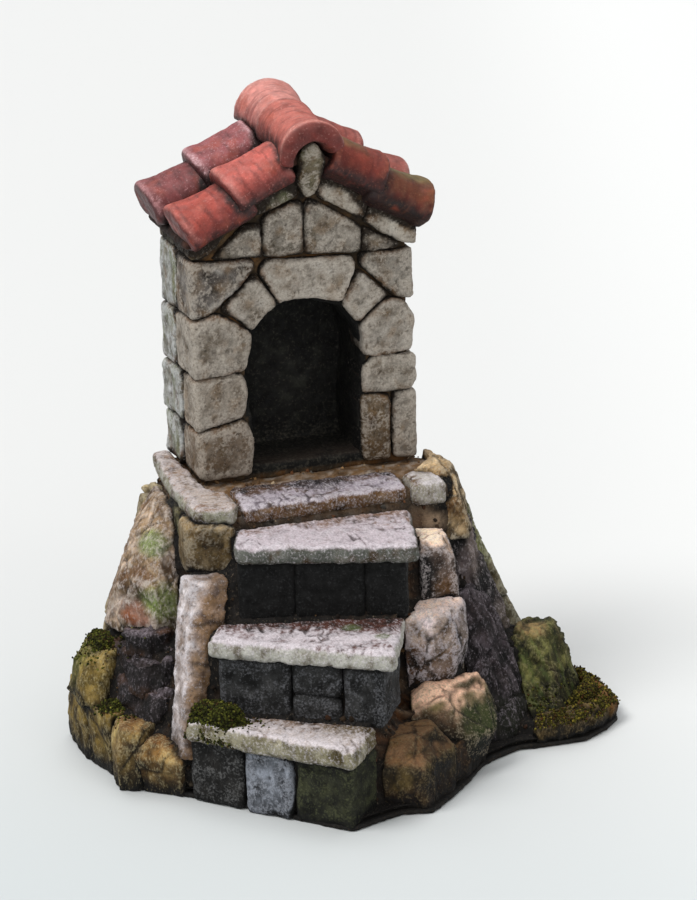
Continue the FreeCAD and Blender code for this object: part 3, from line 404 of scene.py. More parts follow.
def rocky(s, seed, cell=4.0, facet=0.9, strata=0.0, vert=0.0, rough=0.11, round_=0.26, grow=0.15, crease=0.30, cuts=0, cut=0.8, slope=0.9, warped=0.40, upright=0.7):
    """Broken rock: stepped and tilted breaks, layers or upright flutes, rough skin."""
    warp(s, warped, 5.5, seed)
    if grow:
        m = (s.v.max(0) + s.v.min(0)) / 2
        s.v = m + (s.v - m) * (1 + 2 * grow / np.maximum(s.v.max(0) - s.v.min(0), 2.0))
    if cuts:
        hewn(s, seed, cuts, cut, upright)
    s.smooth(round_)
    n = s.mean(s.mean(s.normals()))
    n /= np.maximum(np.linalg.norm(n, axis=1), 1e-6)[:, None]
    Q = s.v + 0.5 * np.stack([fbm(s.v, 3.0, seed + 51 + k, 2) for k in range(3)], 1)
    d1, d2, cid, tl = worley(Q * (1, 1, 0.8), cell, seed)
    d = facet * (0.50 * (cid - 0.5) + slope * tl) * sstep(0.0, 0.04, d2 - d1) - crease * facet * (1 - sstep(0.0, 0.05, d2 - d1))
    d1b, d2b, cidb, tlb = worley(Q * (1, 1, 0.7), cell * 0.4, seed + 3)
    d += facet * (0.22 * (cidb - 0.5) + 0.35 * slope * tlb) * sstep(0.0, 0.08, d2b - d1b)
    side = 1 - np.abs(n[:, 2])
    if strata:
        z = s.v[:, 2] + 0.9 * fbm(s.v, 9.0, seed + 7, 2)
        saw = (z / 1.45) % 1.0
        rnd = np.sin(np.floor(z / 1.45) * 12.9898 + seed) * 0.5
        d += strata * side * (rnd + 0.5 * saw - 0.8 * (1 - sstep(0.0, 0.14, saw)))
    if vert:
        a = s.v[:, 0] * 0.9 + s.v[:, 1] * 0.55
        fl = fbm(np.stack([a / 0.8, a * 0 + seed, s.v[:, 2] / 5.0], 1), 1.0, seed + 9, 2)
        d += vert * side * fl * 1.1
    s.tone = cid - 0.5 + 0.5 * (cidb - 0.5)
    s.rift = (1 - sstep(0.0, 0.07, d2 - d1)) * sstep(-0.3, 0.2, fbm(s.v, 4.0, seed + 29, 1)) + 0.5 * (1 - sstep(0.0, 0.10, d2b - d1b)) * sstep(0.0, 0.3, fbm(s.v, 3.0, seed + 30, 1))
    d += rough * fbm(s.v, 1.3, seed + 13, 3) - 0.14 * sstep(0.2, 0.55, fbm(s.v, 0.8, seed + 17, 2))
    d -= 0.25 * sstep(0.04, 0.14, s.curvature(1.0)) * sstep(0.0, 0.5, fbm(s.v, 1.8, seed + 27, 2))
    s.v = s.v + n * d[:, None]


def clay(s, seed, axis, amp=0.12, round_=0.6, grow=0.0, cup=None):
    """Hand-rolled tile: soft lumps, faint marks round it, nicked ends; `cup` hollows one end."""
    if cup:
        at, ra, rb, tilt_, deep = cup
        ca, sa = math.cos(tilt_), math.sin(tilt_)
        x, z = s.v[:, 0] - at[0], s.v[:, 2] - at[2]
        x, z = x * ca + z * sa, z * ca - x * sa
        rho = np.sqrt((x / ra) ** 2 + (np.maximum(z, 0) / rb) ** 2 + (np.minimum(z, 0) / 30.0) ** 2)
        s.v[:, 1] = np.maximum(s.v[:, 1], np.where(rho < 1.0, at[1] + deep * (1 - sstep(0.90, 1.0, rho)), -99))
    warp(s, 0.30, 6.0, seed)
    s.smooth(round_)
    if grow:
        grown(s, grow, seed)
    n = s.normals()
    a = s.v @ np.asarray(axis)
    mark = gnoise(np.stack([a, a * 0 + seed, fbm(s.v, 5, seed + 3, 1) * 0.6], 1), 0.9, seed)
    d = amp * fbm(s.v, 4.0, seed + 1, 2) + 0.05 * mark + 0.06 * fbm(s.v, 1.2, seed + 4, 2)
    d -= 0.16 * sstep(0.04, 0.15, s.curvature(1.1)) * sstep(0.0, 0.5, fbm(s.v, 2.0, seed + 8, 2))
    s.v = s.v + n * d[:, None]


def mortar(s, seed, amp=0.2, grow=0.0):
    s.smooth(0.4)
    if grow:
        grown(s, grow, seed)
    n = s.normals()
    d = amp * fbm(s.v, 1.4, seed, 3) + 0.10 * sstep(0.1, 0.6, fbm(s.v, 0.7, seed + 5, 2))
    s.v = s.v + n * d[:, None]


# ------------------------------------------------------------------ which recipe each node gets
FINE, MID, COARSE = 0.29, 0.40, 0.7

UP_AXIS = (0, 0, 1)
plan = {}


def want(name, kind, voxel=None, **kw):
    plan[name] = (kind, voxel or FINE, kw)


for nm in ("quoin_left_1", "quoin_left_2", "quoin_left_3", "quoin_right_1", "quoin_right_2", "quoin_right_3",
           "quoin_right_4", "voussoir_left", "keystone", "voussoir_right", "spandrel_left", "spandrel_right",
           "tympanum_stones", "verge_stones_left", "verge_stones_right", "apex_stone", "left_wall_stones",
           "right_wall_stones", "back_wall_stones"):
    want(nm, "dressed", round_=0.22, grow=0.38)
for nm in ("tread_1", "tread_2", "tread_3", "sill_slab", "sill_stub", "left_kerb"):
    want(nm, "slab")
for nm in ("riser_1_blocks", "riser_2_blocks", "riser_3_blocks"):
    want(nm, "dressed", lump=0.12, chip=0.14, grow=0.34, tilt=0.02)
want("left_kerb_blocks", "rocky", cell=5.0, facet=0.20, cuts=3, cut=0.7, grow=0.5, warped=0.25)
want("left_stringer", "dressed", lump=0.30, chip=0.3, round_=0.30, grow=0.1)
want("cheek_stone_1", "rocky", cell=6.0, facet=0.20, cuts=3, cut=0.7, grow=0.25, warped=0.25)
want("cheek_stone_2", "rocky", cell=6.0, facet=0.25, cuts=4, cut=1.0, grow=0.8, warped=0.3)
want("cheek_stone_3", "rocky", cell=5.0, facet=0.25, cuts=3, cut=0.7, grow=0.9, warped=0.3)
want("cheek_stone_4", "rocky", cell=6.0, facet=0.35, cuts=4, cut=1.2, grow=1.0, warped=0.3)
want("cheek_stone_5", "rocky", cell=6.0, facet=0.35, cuts=4, cut=1.1, grow=1.0, warped=0.3)
want("cheek_stone_6", "rocky", cell=5.0, facet=0.35, cuts=4, cut=0.9, grow=1.0, warped=0.3)
want("left_crag", "rocky", cell=7.0, facet=0.5, vert=0.5, cuts=4, cut=1.0, grow=0.6, upright=0.3, warped=0.3)
want("left_boulder", "rocky", cell=7.0, facet=0.4, vert=0.45, cuts=3, cut=0.8, grow=0.7, upright=0.12, warped=0.3)
want("left_columns", "rocky", cell=7.0, facet=0.3, vert=0.35, cuts=3, cut=0.8, grow=0.85, upright=0.08, warped=0.3)
want("left_ledges", "rocky", cell=4.6, facet=1.0, cuts=8, cut=1.3, grow=1.0, warped=0.3, upright=0.55, slope=1.2, round_=0.15, rough=0.07)
want("landing_rock", "rocky", cell=5.0, facet=0.6, cuts=4, cut=0.8, grow=0.5)
want("right_slab", "rocky", cell=5.0, facet=0.4)
want("right_dark_rock", "rocky", cell=6.5, facet=1.1, strata=0.12, vert=0.2, grow=0.2, slope=1.1, rough=0.06)
want("right_striated_rock", "rocky", cell=6.0, facet=0.8, vert=1.1, cuts=5, cut=0.9, grow=0.7, upright=0.4)
want("mossy_boulder", "rocky", cell=6.0, facet=0.85, vert=0.7, cuts=5, cut=1.2, grow=0.7, upright=0.4, warped=0.3)
want("toe_shelf", "rocky", cell=4.5, facet=0.5, strata=0.3)
want("rear_rock_left", "rocky", MID, cell=8.5, facet=1.5, strata=0.0, cuts=6, cut=1.6, slope=1.1, rough=0.08)
want("rear_rock_middle", "rocky", MID, cell=8.5, facet=1.4, strata=0.0, cuts=6, cut=1.6, slope=1.1, rough=0.08)
want("rear_rock_right", "rocky", MID, cell=8.5, facet=1.5, strata=0.0, cuts=6, cut=1.6, slope=1.1, rough=0.08)
want("rock_fill", "rocky", COARSE, cell=4.0, facet=0.6, strata=0.2)
want("shrine_core", "mortar", MID, grow=0.22)
want("roof_deck", "mortar", MID, grow=0.10)
want("base_board", "mortar", MID, amp=0.12)
want("roof_tiles_left", "clay", axis=(0.91, 0, 0.41))
want("roof_tiles_right", "clay", axis=(-0.91, 0, 0.41))
want("ridge_tile_front", "clay", axis=(0, 1, 0), round_=0.40, cup=((0.9, -5.4, 88.3), 3.1, 3.1, -0.227, 4.4))
want("ridge_tile_rear", "clay", axis=(0, 1, 0), round_=0.45)

SHAPE = {"dressed": dressed, "slab": slab, "rocky": rocky, "clay": clay, "mortar": mortar}
NUDGE = {"cheek_stone_1": np.array((0, 0, -1.7)), "cheek_stone_2": np.array((0, 0, -1.3)), "cheek_stone_4": np.array((0.9, 0, -1.0)), "landing_rock": np.array((-0.8, -2.0, 0))}
surfs = {}
import time as _t
t0 = _t.perf_counter()
for i, (nm, (kind, vox, kw)) in enumerate(sorted(plan.items())):
    co, tri = node_arrays(nm)
    got = []
    for j, (pc, pt) in enumerate(loose(co, tri)):
        if nm in TILES:
            pc, pt = pantile(**TILES[nm][j])
        if nm in NUDGE:
            pc = pc + NUDGE[nm]
        if nm == "left_kerb_blocks":
            mid_ = (pc.max(0) + pc.min(0)) / 2
            pc = mid_ + (pc - mid_) * (1.16, 1.05, 1.10)
        if nm == "landing_rock":
            pc = pc.copy()
            pc[:, 0] = pc[:, 0].min() + (pc[:, 0] - pc[:, 0].min()) * 1.28
            pc[:, 2] = pc[:, 2].max() - (pc[:, 2].max() - pc[:, 2]) * 1.6
        if nm == "cheek_stone_2":
            pc = pc.copy()
            pc[:, 2] = pc[:, 2].max() - (pc[:, 2].max() - pc[:, 2]) * 1.12
        if nm == "apex_stone":
            z0 = pc[:, 2].min()
            pc = pc.copy()
            pc[:, 2] = z0 + (pc[:, 2] - z0) * 1.62
            pc[:, 1] -= 0.4 + 2.6 * np.clip((pc[:, 2] - z0) / 8.1, 0, 1) ** 1.3
        v, q = remesh(pc, pt, vox)
        s = Surf(v, q, vox)
        s.rnd = float((math.sin((i * 7 + j * 3 + 1) * 12.9898) * 43758.5453) % 1.0)
        SHAPE[kind](s, seed=11 + i * 13 + j * 5, **kw)
        got.append(s)
    surfs[nm] = got
print("shaping s", round(_t.perf_counter() - t0, 1), "quads", sum(len(s.q) for g in surfs.values() for s in g))

# ------------------------------------------------------------------ rubble and mud packed between the lower stones, mostly painted near black as crevice shade
LOWER = [nm for nm in plan if nm.startswith(("tread", "riser", "sill", "left_kerb", "left_stringer", "cheek", "left_crag", "left_boulder",
                                            "left_columns", "left_ledges", "landing", "right_slab", "right_dark", "right_striated",
                                            "mossy", "toe", "rear_rock", "rock_fill", "base_board"))]
for nm in LOWER:
    for s in surfs[nm]:
        z = s.v[:, 2]
        if nm == "base_board":
            s.v[:, 2] = 0.62 * z
        else:
            s.v[:, 2] = np.where(z < 3.2, 3.2 - (3.2 - z) * 1.42, z)
        s.v[:, 2] = np.maximum(s.v[:, 2], 0.12)
PUFF = 1.7
puffed = []
for nm in LOWER:
    for s in surfs[nm]:
        c_ = Surf(s.v, s.q, s.h)
        c_.smooth(0.8)
        nn = c_.normals()
        nn = c_.mean(c_.mean(c_.mean(nn)))
        nn /= np.maximum(np.linalg.norm(nn, axis=1), 1e-6)[:, None]
        pv = s.v + nn * PUFF
        puffed.append((pv, np.concatenate([s.q[:, [0, 1, 2]], s.q[:, [0, 2, 3]]])))
gv, gt = joined(*puffed)
v, q = remesh(gv, gt, 0.62)
ground = Surf(v, q, 0.62)
ground.smooth(1.1)
nn = ground.normals()
nn = ground.mean(ground.mean(nn))
nn /= np.maximum(np.linalg.norm(nn, axis=1), 1e-6)[:, None]
ground.v = ground.v - nn * (PUFF + 1.25)
ground.smooth(0.9)
ground.v = ground.v + ground.normals() * (0.20 * fbm(ground.v, 2.2, 777, 3))[:, None]
ground.v[:, 2] = np.maximum(ground.v[:, 2], 0.3)
ground.rnd = 0.5
surfs["rock_fill"] = [ground]
print("with ground s", round(_t.perf_counter() - t0, 1))

# ------------------------------------------------------------------ how open each spot is
G = 0.8
allv = np.concatenate([s.v for g in surfs.values() for s in g])
alla = np.concatenate([np.full(len(s.v), plan[nm][1] ** 2) for nm, g in surfs.items() for s in g])
lo = allv.min(0) - 8
dim = np.ceil((allv.max(0) - lo + 8) / G).astype(int)
ix = ((allv - lo) / G).astype(int)
flat = (ix[:, 0] * dim[1] + ix[:, 1]) * dim[2] + ix[:, 2]
grid = np.bincount(flat, alla, int(dim.prod())).reshape(tuple(dim))


def blur(g, r):
    for ax in range(3):
        for _ in range(2):
            c = np.cumsum(g, axis=ax)
            n = g.shape[ax]
            hi = np.minimum(np.arange(n) + r, n - 1)
            lo_ = np.arange(n) - r - 1
            a = np.take(c, hi, axis=ax)
            b = np.take(c, np.maximum(lo_, 0), axis=ax)
            shp = [1, 1, 1]
            shp[ax] = n
            b = b * (lo_ >= 0).reshape(shp)
            g = (a - b) / (2 * r + 1)
    return g


g1, g2 = blur(grid, 1), blur(grid, 3)
_gi = ((ground.v - lo) / G).astype(int)
_gf = (_gi[:, 0] * dim[1] + _gi[:, 1]) * dim[2] + _gi[:, 2]
solid_grid = grid - np.bincount(_gf, np.full(len(_gf), plan["rock_fill"][1] ** 2), int(dim.prod())).reshape(tuple(dim))
n1, n2 = blur(solid_grid, 1), blur(solid_grid, 3)


def sample(g, P):
    q = (P - lo) / G - 0.5
    i = np.clip(np.floor(q).astype(int), 0, dim - 2)
    f = np.clip(q - i, 0, 1)
    out = 0
    for dx in (0, 1):
        for dy in (0, 1):
            for dz in (0, 1):
                w = (f[:, 0] if dx else 1 - f[:, 0]) * (f[:, 1] if dy else 1 - f[:, 1]) * (f[:, 2] if dz else 1 - f[:, 2])
                out = out + w * g[i[:, 0] + dx, i[:, 1] + dy, i[:, 2] + dz]
    return out


def others(s, area_, total, r):
    """Density of everything but this piece, at its skin."""
    pad = 2 * r + 2
    i0 = np.maximum(((s.v.min(0) - lo) / G).astype(int) - pad, 0)
    i1 = np.minimum(((s.v.max(0) - lo) / G).astype(int) + pad + 1, dim)
    d_ = i1 - i0
    q_ = ((s.v - lo) / G).astype(int) - i0
    f_ = (q_[:, 0] * d_[1] + q_[:, 1]) * d_[2] + q_[:, 2]
    own = blur(np.bincount(f_, minlength=int(d_.prod())).astype(float).reshape(tuple(d_)) * area_, r)
    p_ = (s.v - lo) / G - 0.5 - i0
    i_ = np.clip(np.floor(p_).astype(int), 0, d_ - 2)
    t_ = np.clip(p_ - i_, 0, 1)
    o_ = 0
    for dx in (0, 1):
        for dy in (0, 1):
            for dz in (0, 1):
                w_ = (t_[:, 0] if dx else 1 - t_[:, 0]) * (t_[:, 1] if dy else 1 - t_[:, 1]) * (t_[:, 2] if dz else 1 - t_[:, 2])
                o_ = o_ + w_ * own[i_[:, 0] + dx, i_[:, 1] + dy, i_[:, 2] + dz]
    return sample(total, s.v) - o_


for nm, g in surfs.items():
    for s in g:
        if nm == "rock_fill":
            s.nb, s.nb2 = sample(n1, s.v), sample(n2, s.v)
        else:
            s.nb = others(s, plan[nm][1] ** 2, n1, 1)
            s.nb2 = others(s, plan[nm][1] ** 2, n2, 3)
        z_ = s.v[:, 2]
        s.hh = (z_ - z_.min()) / max(1e-3, z_.max() - z_.min())
        s.n = s.normals()
        s.n = s.mean(s.mean(s.n))
        s.n /= np.maximum(np.linalg.norm(s.n, axis=1), 1e-6)[:, None]
        near = sample(g1, s.v + s.n * 1.0)
        far = sample(g2, s.v + s.n * 2.6)
        s.occ = near
        s.occ2 = far
        s.cv = s.curvature(0.75)
        s.cv2 = s.curvature(1.6)

# ------------------------------------------------------------------ paint, worked out per vertex
def bands(s, axis, across, size_a, size_c, seed):
    """Brush streaks: short along `axis`, long the other way."""
    a = s.v @ np.asarray(axis, float)
    c = s.v @ np.asarray(across, float)
    return fbm(np.stack([a / size_a, c / size_c, a * 0 + seed * 0.37 + s.rnd * 9], 1), 1.0, seed, 3)


def start(s, base, lo=None, hi=None, seed=0, size=3.0):
    b = lin(base)
    lo = b * 0.72 if lo is None else lin(lo)
    hi = b * 1.2 if hi is None else lin(hi)
    m = fbm(s.v, size, seed, 3)
    c = np.repeat(b[None], len(s.v), 0)
    c = mix(c, lo, sstep(0.02, 0.42, -m))
    c = mix(c, hi, sstep(0.02, 0.42, m))
    return c


def blot(s, c, rgb, at, r, k=1.0, seed=0, soft=0.8):
    """A patch of colour round a point, with a ragged edge."""
    d = np.linalg.norm((s.v - np.asarray(at, float)) / np.asarray(r, float), axis=1)
    d = d + 0.45 * fbm(s.v, 2.2, seed + 5, 3)
    return mix(c, lin(rgb), k * (1 - sstep(1 - soft * 0.5, 1 + soft * 0.5, d)))


def grime_and_shade(s, c, wash, k=1.0, lo=0.08, hi=0.30, rust=None, rk=0.6, seed=0, stain=(84, 68, 50), sk=0.55, s_lo=0.15, s_hi=0.36):
    """Brown stain spreading out from the joints, partly stain and partly painted shade on the stone edges next to them,
    rusty in places, then the black-brown wash in the joints, recesses and hollows: dark joint paint and painted shade.
    """
    v = s.v
    t2 = s.nb2 + 0.16 * fbm(v, 3.6, seed + 20, 3)
    # Stain near the joints, and painted shade on the stone edges next to them.
    c = mix(c, lin(stain), sk * sstep(s_lo, s_hi, t2))
    t = s.nb + 0.13 * fbm(v, 1.2, seed + 21, 3) + 0.05 * gnoise(v, 0.55, seed + 22)
    if rust is not None:
        c = mix(c, lin(rust), rk * sstep(lo - 0.10, lo + 0.08, t) * sstep(-0.1, 0.4, fbm(v, 4.0, seed + 23, 2)))
    # Painted shade: darker where other pieces come near, where the skin is enclosed, and in hollows.
    c = mix(c, lin(wash), k * sstep(lo, hi, t))
    c = mix(c, lin(wash), k * sstep(0.55, 0.80, s.occ))
    return mix(c, lin(wash), 0.5 * k * sstep(0.03, 0.12, -s.cv2))


def zenith(s, c, seed, dark=0.5, lo=-0.05, hi=0.40):
    """Painted-in shade: low and down-facing parts darker."""
    t = s.hh + 0.25 * fbm(s.v, 3.0, seed + 33, 2)
    f = 1 - dark * (1 - sstep(lo, hi, t))
    f = f * (1 - 0.6 * dark * sstep(0.1, -0.6, s.n[:, 2]))
    return c * f[:, None]


SKY = np.array((-0.42, -0.30, 0.86))


def lit(s, c, k=0.5):
    """Painted highlights: facets turned to the upper left lighter, those turned away darker."""
    t = s.n @ SKY
    return c * (1 - k + 1.75 * k * sstep(-0.35, 0.95, t))[:, None]


def drybrush_highlight(s, lo=0.0, hi=0.07, top=0.0, flat=0.12, seed=0):
    """Painted highlight: how much a dry brush would catch here, raised edges, and up-facing skin if `top`."""
    e = sstep(lo, hi, s.cv + 0.3 * s.cv2)
    m = np.clip(flat + 0.8 * e + top * sstep(0.35, 0.9, s.n[:, 2]), 0, 1)
    m = m * (1 - 0.95 * sstep(0.10, 0.34, s.nb)) * (1 - sstep(0.5, 0.75, s.occ))
    return np.clip(m * (0.8 + 0.6 * fbm(s.v, 2.0, seed + 61, 3)), 0, 1)


WASH = (34, 25, 16)
# Pale dry-brush colour of the painted highlights.
DRYBRUSH_HIGHLIGHT = (182, 172, 160)


def punch(c, k, lo=0.55, hi=1.4):
    """More contrast about this piece's own average."""
    L_ = c.mean(1)
    return c * np.clip((L_ / np.median(L_)) ** k, lo, hi)[:, None]


def paint_wall(s, seed, base=(140, 130, 119), lo=(108, 97, 84), hi=(164, 155, 144), rust=(122, 80, 38), green=0.0, brown=0.0,
               dryc=DRYBRUSH_HIGHLIGHT, dk=1.0, wash=WASH, sk=0.55, shade=0.15, stain=(84, 68, 50)):
    v = s.v
    c = start(s, base, lo, hi, seed, 2.6)
    c = mix(c, lin((124, 98, 68)), 0.50 * sstep(0.05, 0.40, fbm(v, 3.0, seed + 9, 3)))
    c = mix(c, lin((104, 95, 84)), 0.50 * sstep(0.10, 0.34, fbm(v, 1.2, seed + 3, 3)))
    c = mix(c, lin((66, 57, 47)), 0.70 * sstep(0.20, 0.40, fbm(v, 0.75, seed + 4, 2)) * sstep(-0.25, 0.3, fbm(v, 3.4, seed + 6, 1)))
    if brown:
        c = mix(c, lin((90, 68, 44)), brown * sstep(-0.35, 0.35, fbm(v, 3.0, seed + 12, 3)))
    if green:
        c = mix(c, lin((112, 120, 74)), green * sstep(-0.1, 0.4, fbm(v * (1, 1, 0.5), 3.0, seed + 15, 3)))
    c = zenith(s, c, seed, shade)
    c = grime_and_shade(s, c, wash, 1.0, 0.21, 0.36, rust=rust, sk=sk, seed=seed, stain=stain, s_lo=0.26, s_hi=0.48)
    # Painted shade: darker brown patches spreading out from the joints onto the stones.
    c = mix(c, lin((72, 54, 36)), 0.55 * sstep(0.12, 0.40, fbm(v, 2.0, seed + 41, 3)) * sstep(0.02, 0.30, s.nb2 + 0.08))
    c = punch(c, 0.60, 0.45, 1.06) * 0.97
    return c, lin(dryc), dk * drybrush_highlight(s, seed=seed), 0.85 + 0 * s.occ


def depth_axes(s):
    """Across and into the stair at this slab: unit vectors, and how far back each point lies, 0..1."""
    P = s.v[s.n[:, 2] > 0.8][:, :2]
    w_, e_ = np.linalg.eigh(np.cov((P - P.mean(0)).T))
    a = e_[:, 1] if e_[0, 1] > 0 else -e_[:, 1]
    into = np.array((-a[1], a[0]))
    if into[1] < 0:
        into = -into
    t = s.v[:, :2] @ into
    tp = P @ into
    return np.array((a[0], a[1], 0)), np.array((into[0], into[1], 0)), (t - tp.min()) / (tp.max() - tp.min())


def paint_tread(s, seed, light=(176, 165, 170), under=(96, 72, 58), deep=(52, 38, 30), face=(126, 124, 112), face2=(78, 68, 52), lip=(176, 172, 166),
                cover=0.62, back=0.55, streak=0.35, dryc=(214, 207, 212), blots=(), dk=0.8, face_k=0.6):
    v = s.v
    ac, into, y = depth_axes(s)
    up = sstep(0.45, 0.85, s.n[:, 2])
    st = bands(s, ac, into, 0.50, 2.8, seed + 4)
    big = fbm(v, 3.6, seed + 2, 2)
    spk = fbm(v, 0.85, seed + 9, 3)
    u = mix(np.repeat(lin(under)[None], len(v), 0), lin(deep), sstep(-0.15, 0.35, fbm(v, 2.2, seed + 5, 3)))
    L_ = sstep(0.22, 0.72, cover - back * sstep(0.35, 1.0, y + 0.15 * big) + 0.45 * big + streak * st + 0.45 * spk)
    lt_ = mix(np.repeat(lin(light)[None], len(v), 0), lin(light) * 0.68, sstep(-0.1, 0.4, fbm(v, 1.5, seed + 12, 3)))
    top = mix(u, lt_, L_)
    fc = mix(np.repeat(lin(face)[None], len(v), 0), lin(face2), sstep(-0.10, 0.40, fbm(v * (1, 1, 0.8), 2.0, seed + 14, 3)))
    fc = mix(fc, lin(lip), 0.45 * sstep(-0.1, 0.45, fbm(v * (1, 1, 0.7), 2.0, seed + 17, 2)))
    c = top * up[:, None] + fc * (1 - up)[:, None]
    for i, (at, r, rgb, k) in enumerate(blots):
        c = blot(s, c, rgb, at, r, k, seed + i * 17)
    if hasattr(s, "crack"):
        c = mix(c, lin((48, 38, 32)), 0.6 * s.crack * up)
    plain = c
    c = grime_and_shade(s, c, (30, 22, 17), 1.0, 0.16, 0.40, rust=(112, 74, 42), rk=0.6, seed=seed, stain=(80, 58, 40), sk=0.5, s_lo=0.26, s_hi=0.5)
    c = mix(c, plain * 0.90, 0.5 * (1 - up))
    # Painted shade: the lower part of the side faces darker.
    c = c * (1 - 0.55 * (1 - up) * sstep(0.30, 0.0, s.hh))[:, None]
    # Painted highlight mask for the dry brush: the pale top and raised edges, less towards the back, in cracks and near
    # other pieces.
    e = sstep(0.0, 0.07, s.cv + 0.3 * s.cv2)
    m = (0.15 + 0.35 * L_ + 0.45 * e * (1 - 0.7 * sstep(0.5, 1.0, y))) * up + (0.06 + 0.55 * face_k * e) * (1 - up)
    if hasattr(s, "crack"):
        m = m * (1 - s.crack)
    m = m * (1 - 0.9 * sstep(0.14, 0.38, s.nb))
    c = punch(c, 0.22, 0.6, 1.2)
    return c, lin(dryc), np.clip(dk * m, 0, 1), 0.8 + 0 * s.occ


def paint_rock(s, seed, base, lo, hi, dryc, dk=0.8, wash=(24, 19, 14), blots=(), top=None, topk=0.8, low=None, lowk=0.8, size=3.0, shade=0.75,
               stain=(62, 48, 32), sk=0.5, flat=0.10, ltop=0.25, lowh=0.50):
    v = s.v
    c = start(s, base, lo, hi, seed, size)
    c = mix(c, lin(lo), 0.45 * sstep(0.05, 0.40, fbm(v * (1.4, 1.4, 0.5), 1.6, seed + 5, 3)))
    if hasattr(s, "tone"):
        c = c * (1 + 0.42 * s.tone)[:, None]
    # Up-facing skin takes the `top` colour: lighter than the base on the cheek stones, a painted highlight; a darker
    # brown on the columns.
    if top is not None:
        c = mix(c, lin(top), topk * sstep(0.40, 0.80, s.n[:, 2] + 0.25 * fbm(v, 3, seed + 3, 2)))
    # The lower part of the piece blended to the `low` colour: painted shade where it is darker, tinted brown, green or
    # rust from rock to rock.
    if low is not None:
        c = mix(c, lin(low), lowk * sstep(lowh, 0.0, s.hh + 0.3 * fbm(v, 3.5, seed + 13, 2)))
    for i, (at, r, rgb, k) in enumerate(blots):
        c = blot(s, c, rgb, at, r, k, seed + i * 17)
    c = mix(c, lin(wash), 0.32 * sstep(0.16, 0.5, fbm(v, 1.0, seed + 19, 3)))
    if hasattr(s, "rift"):
        c = mix(c, lin(wash), 0.75 * np.clip(s.rift, 0, 1))
    c = lit(s, c, 0.62)
    c = zenith(s, c, seed, shade)
    c = grime_and_shade(s, c, wash, 1.0, 0.10, 0.34, seed=seed, stain=stain, sk=sk)
    L_ = c.mean(1)
    c = c * np.clip((L_ / 0.16) ** 0.30, 0.45, 1.35)[:, None]
    c = punch(c, 0.35, 0.5, 1.10)
    L_ = c.mean(1)[:, None]
    c = np.clip(L_ + (c - L_) * 1.22, 0.002, 1)
    return c, lin(dryc), dk * drybrush_highlight(s, 0.0, 0.08, top=ltop, flat=flat, seed=seed), 0.9 + 0 * s.occ


def paint_tile(s, seed, top, side, under, dryc, axis, dk=0.5, blots=(), streak=0.6):
    v = s.v
    ax = np.asarray(axis, float)
    ac = np.cross(ax, (0, 0, 1.0))
    ac /= np.linalg.norm(ac)
    upn = s.n[:, 2]
    st = bands(s, ax, ac, 0.50, 4.5, seed)
    st2 = bands(s, ax, ac, 1.7, 6.0, seed + 3)
    # Painted light: up-facing skin takes the lighter `top` colour, the sides the darker `side` colour.
    c = mix(np.repeat(lin(side)[None], len(v), 0), lin(top), sstep(0.10, 0.80, upn + 0.30 * st2))
    # Painted shade: down-facing skin takes the dark `under` colour.
    c = mix(c, lin(under), 0.95 * sstep(0.35, -0.25, upn + 0.20 * st))
    # Painted shade: the end faces darkened.
    end = sstep(0.55, 0.85, np.abs(s.n @ ax))
    c = mix(c, lin(side) * 0.75, 0.9 * end)
    c = mix(c, lin(side) * 0.8, streak * sstep(0.05, 0.38, st))
    c = mix(c, lin(top) * 1.3, 0.55 * streak * sstep(0.08, 0.42, -st))
    c = mix(c, lin((170, 74, 46)), 0.35 * sstep(0.1, 0.5, fbm(v, 3.2, seed + 7, 2)))
    for i, (at, r, rgb, k) in enumerate(blots):
        c = blot(s, c, rgb, at, r, k, seed + i * 17)
    # Painted shade: the hollow front end of the ridge tile darker red.
    if abs(ax[1]) > 0.9:
        mouth = sstep(0.25, 0.65, -s.n[:, 1]) * sstep(v[:, 1].min() + 2.6, v[:, 1].min() + 0.8, v[:, 1])
        c = mix(c, lin((112, 44, 38)), 0.85 * mouth)
        end = np.maximum(end, mouth)
    # Painted highlight: pale raised edges on the up-facing skin.
    e = sstep(0.02, 0.12, s.cv + 0.25 * s.cv2) * (1 - 0.8 * end)
    c = mix(c, lin(dryc) * 0.8, 0.35 * e * sstep(-0.2, 0.4, upn))
    c = grime_and_shade(s, c, (40, 15, 14), 1.0, 0.12, 0.40, seed=seed, stain=(76, 30, 28), sk=0.65, s_lo=0.18, s_hi=0.42)
    c = c * (1 + 0.55 * fbm(v, 1.6, seed + 25, 3))[:, None]
    c = punch(c, 0.50, 0.45, 1.06) * 0.90
    # Painted highlight mask for the dry brush: raised edges and some noise on up-facing skin, away from other pieces
    # and off the end faces.
    m = (0.04 + 0.55 * e + 0.22 * sstep(0.0, 0.4, fbm(v, 2.4, seed + 15, 3))) * sstep(-0.1, 0.5, upn) * (1 - sstep(0.15, 0.4, s.nb))
    m = m * (1 - end)
    return c, lin(dryc), np.clip(dk * m, 0, 1), 0.5 + 0 * s.occ


def paint_dark(s, seed, base=(46, 36, 26), fleck=(96, 78, 54), k=0.5):
    c = start(s, base, tuple(x * 0.5 for x in base), tuple(min(255, x * 1.7) for x in base), seed, 1.8)
    return c, lin(fleck), k * drybrush_highlight(s, -0.02, 0.06, seed=seed), 0.6 + 0 * s.occ


def pieces_of(nm):
    return surfs[nm]


SEED = {nm: 101 + 37 * i for i, nm in enumerate(sorted(plan))}


def coat(nm, fn):
    for j, s in enumerate(surfs[nm]):
        s.paint, s.dryc, s.mask, s.pitty = fn(s, j, SEED[nm] + 5 * j)


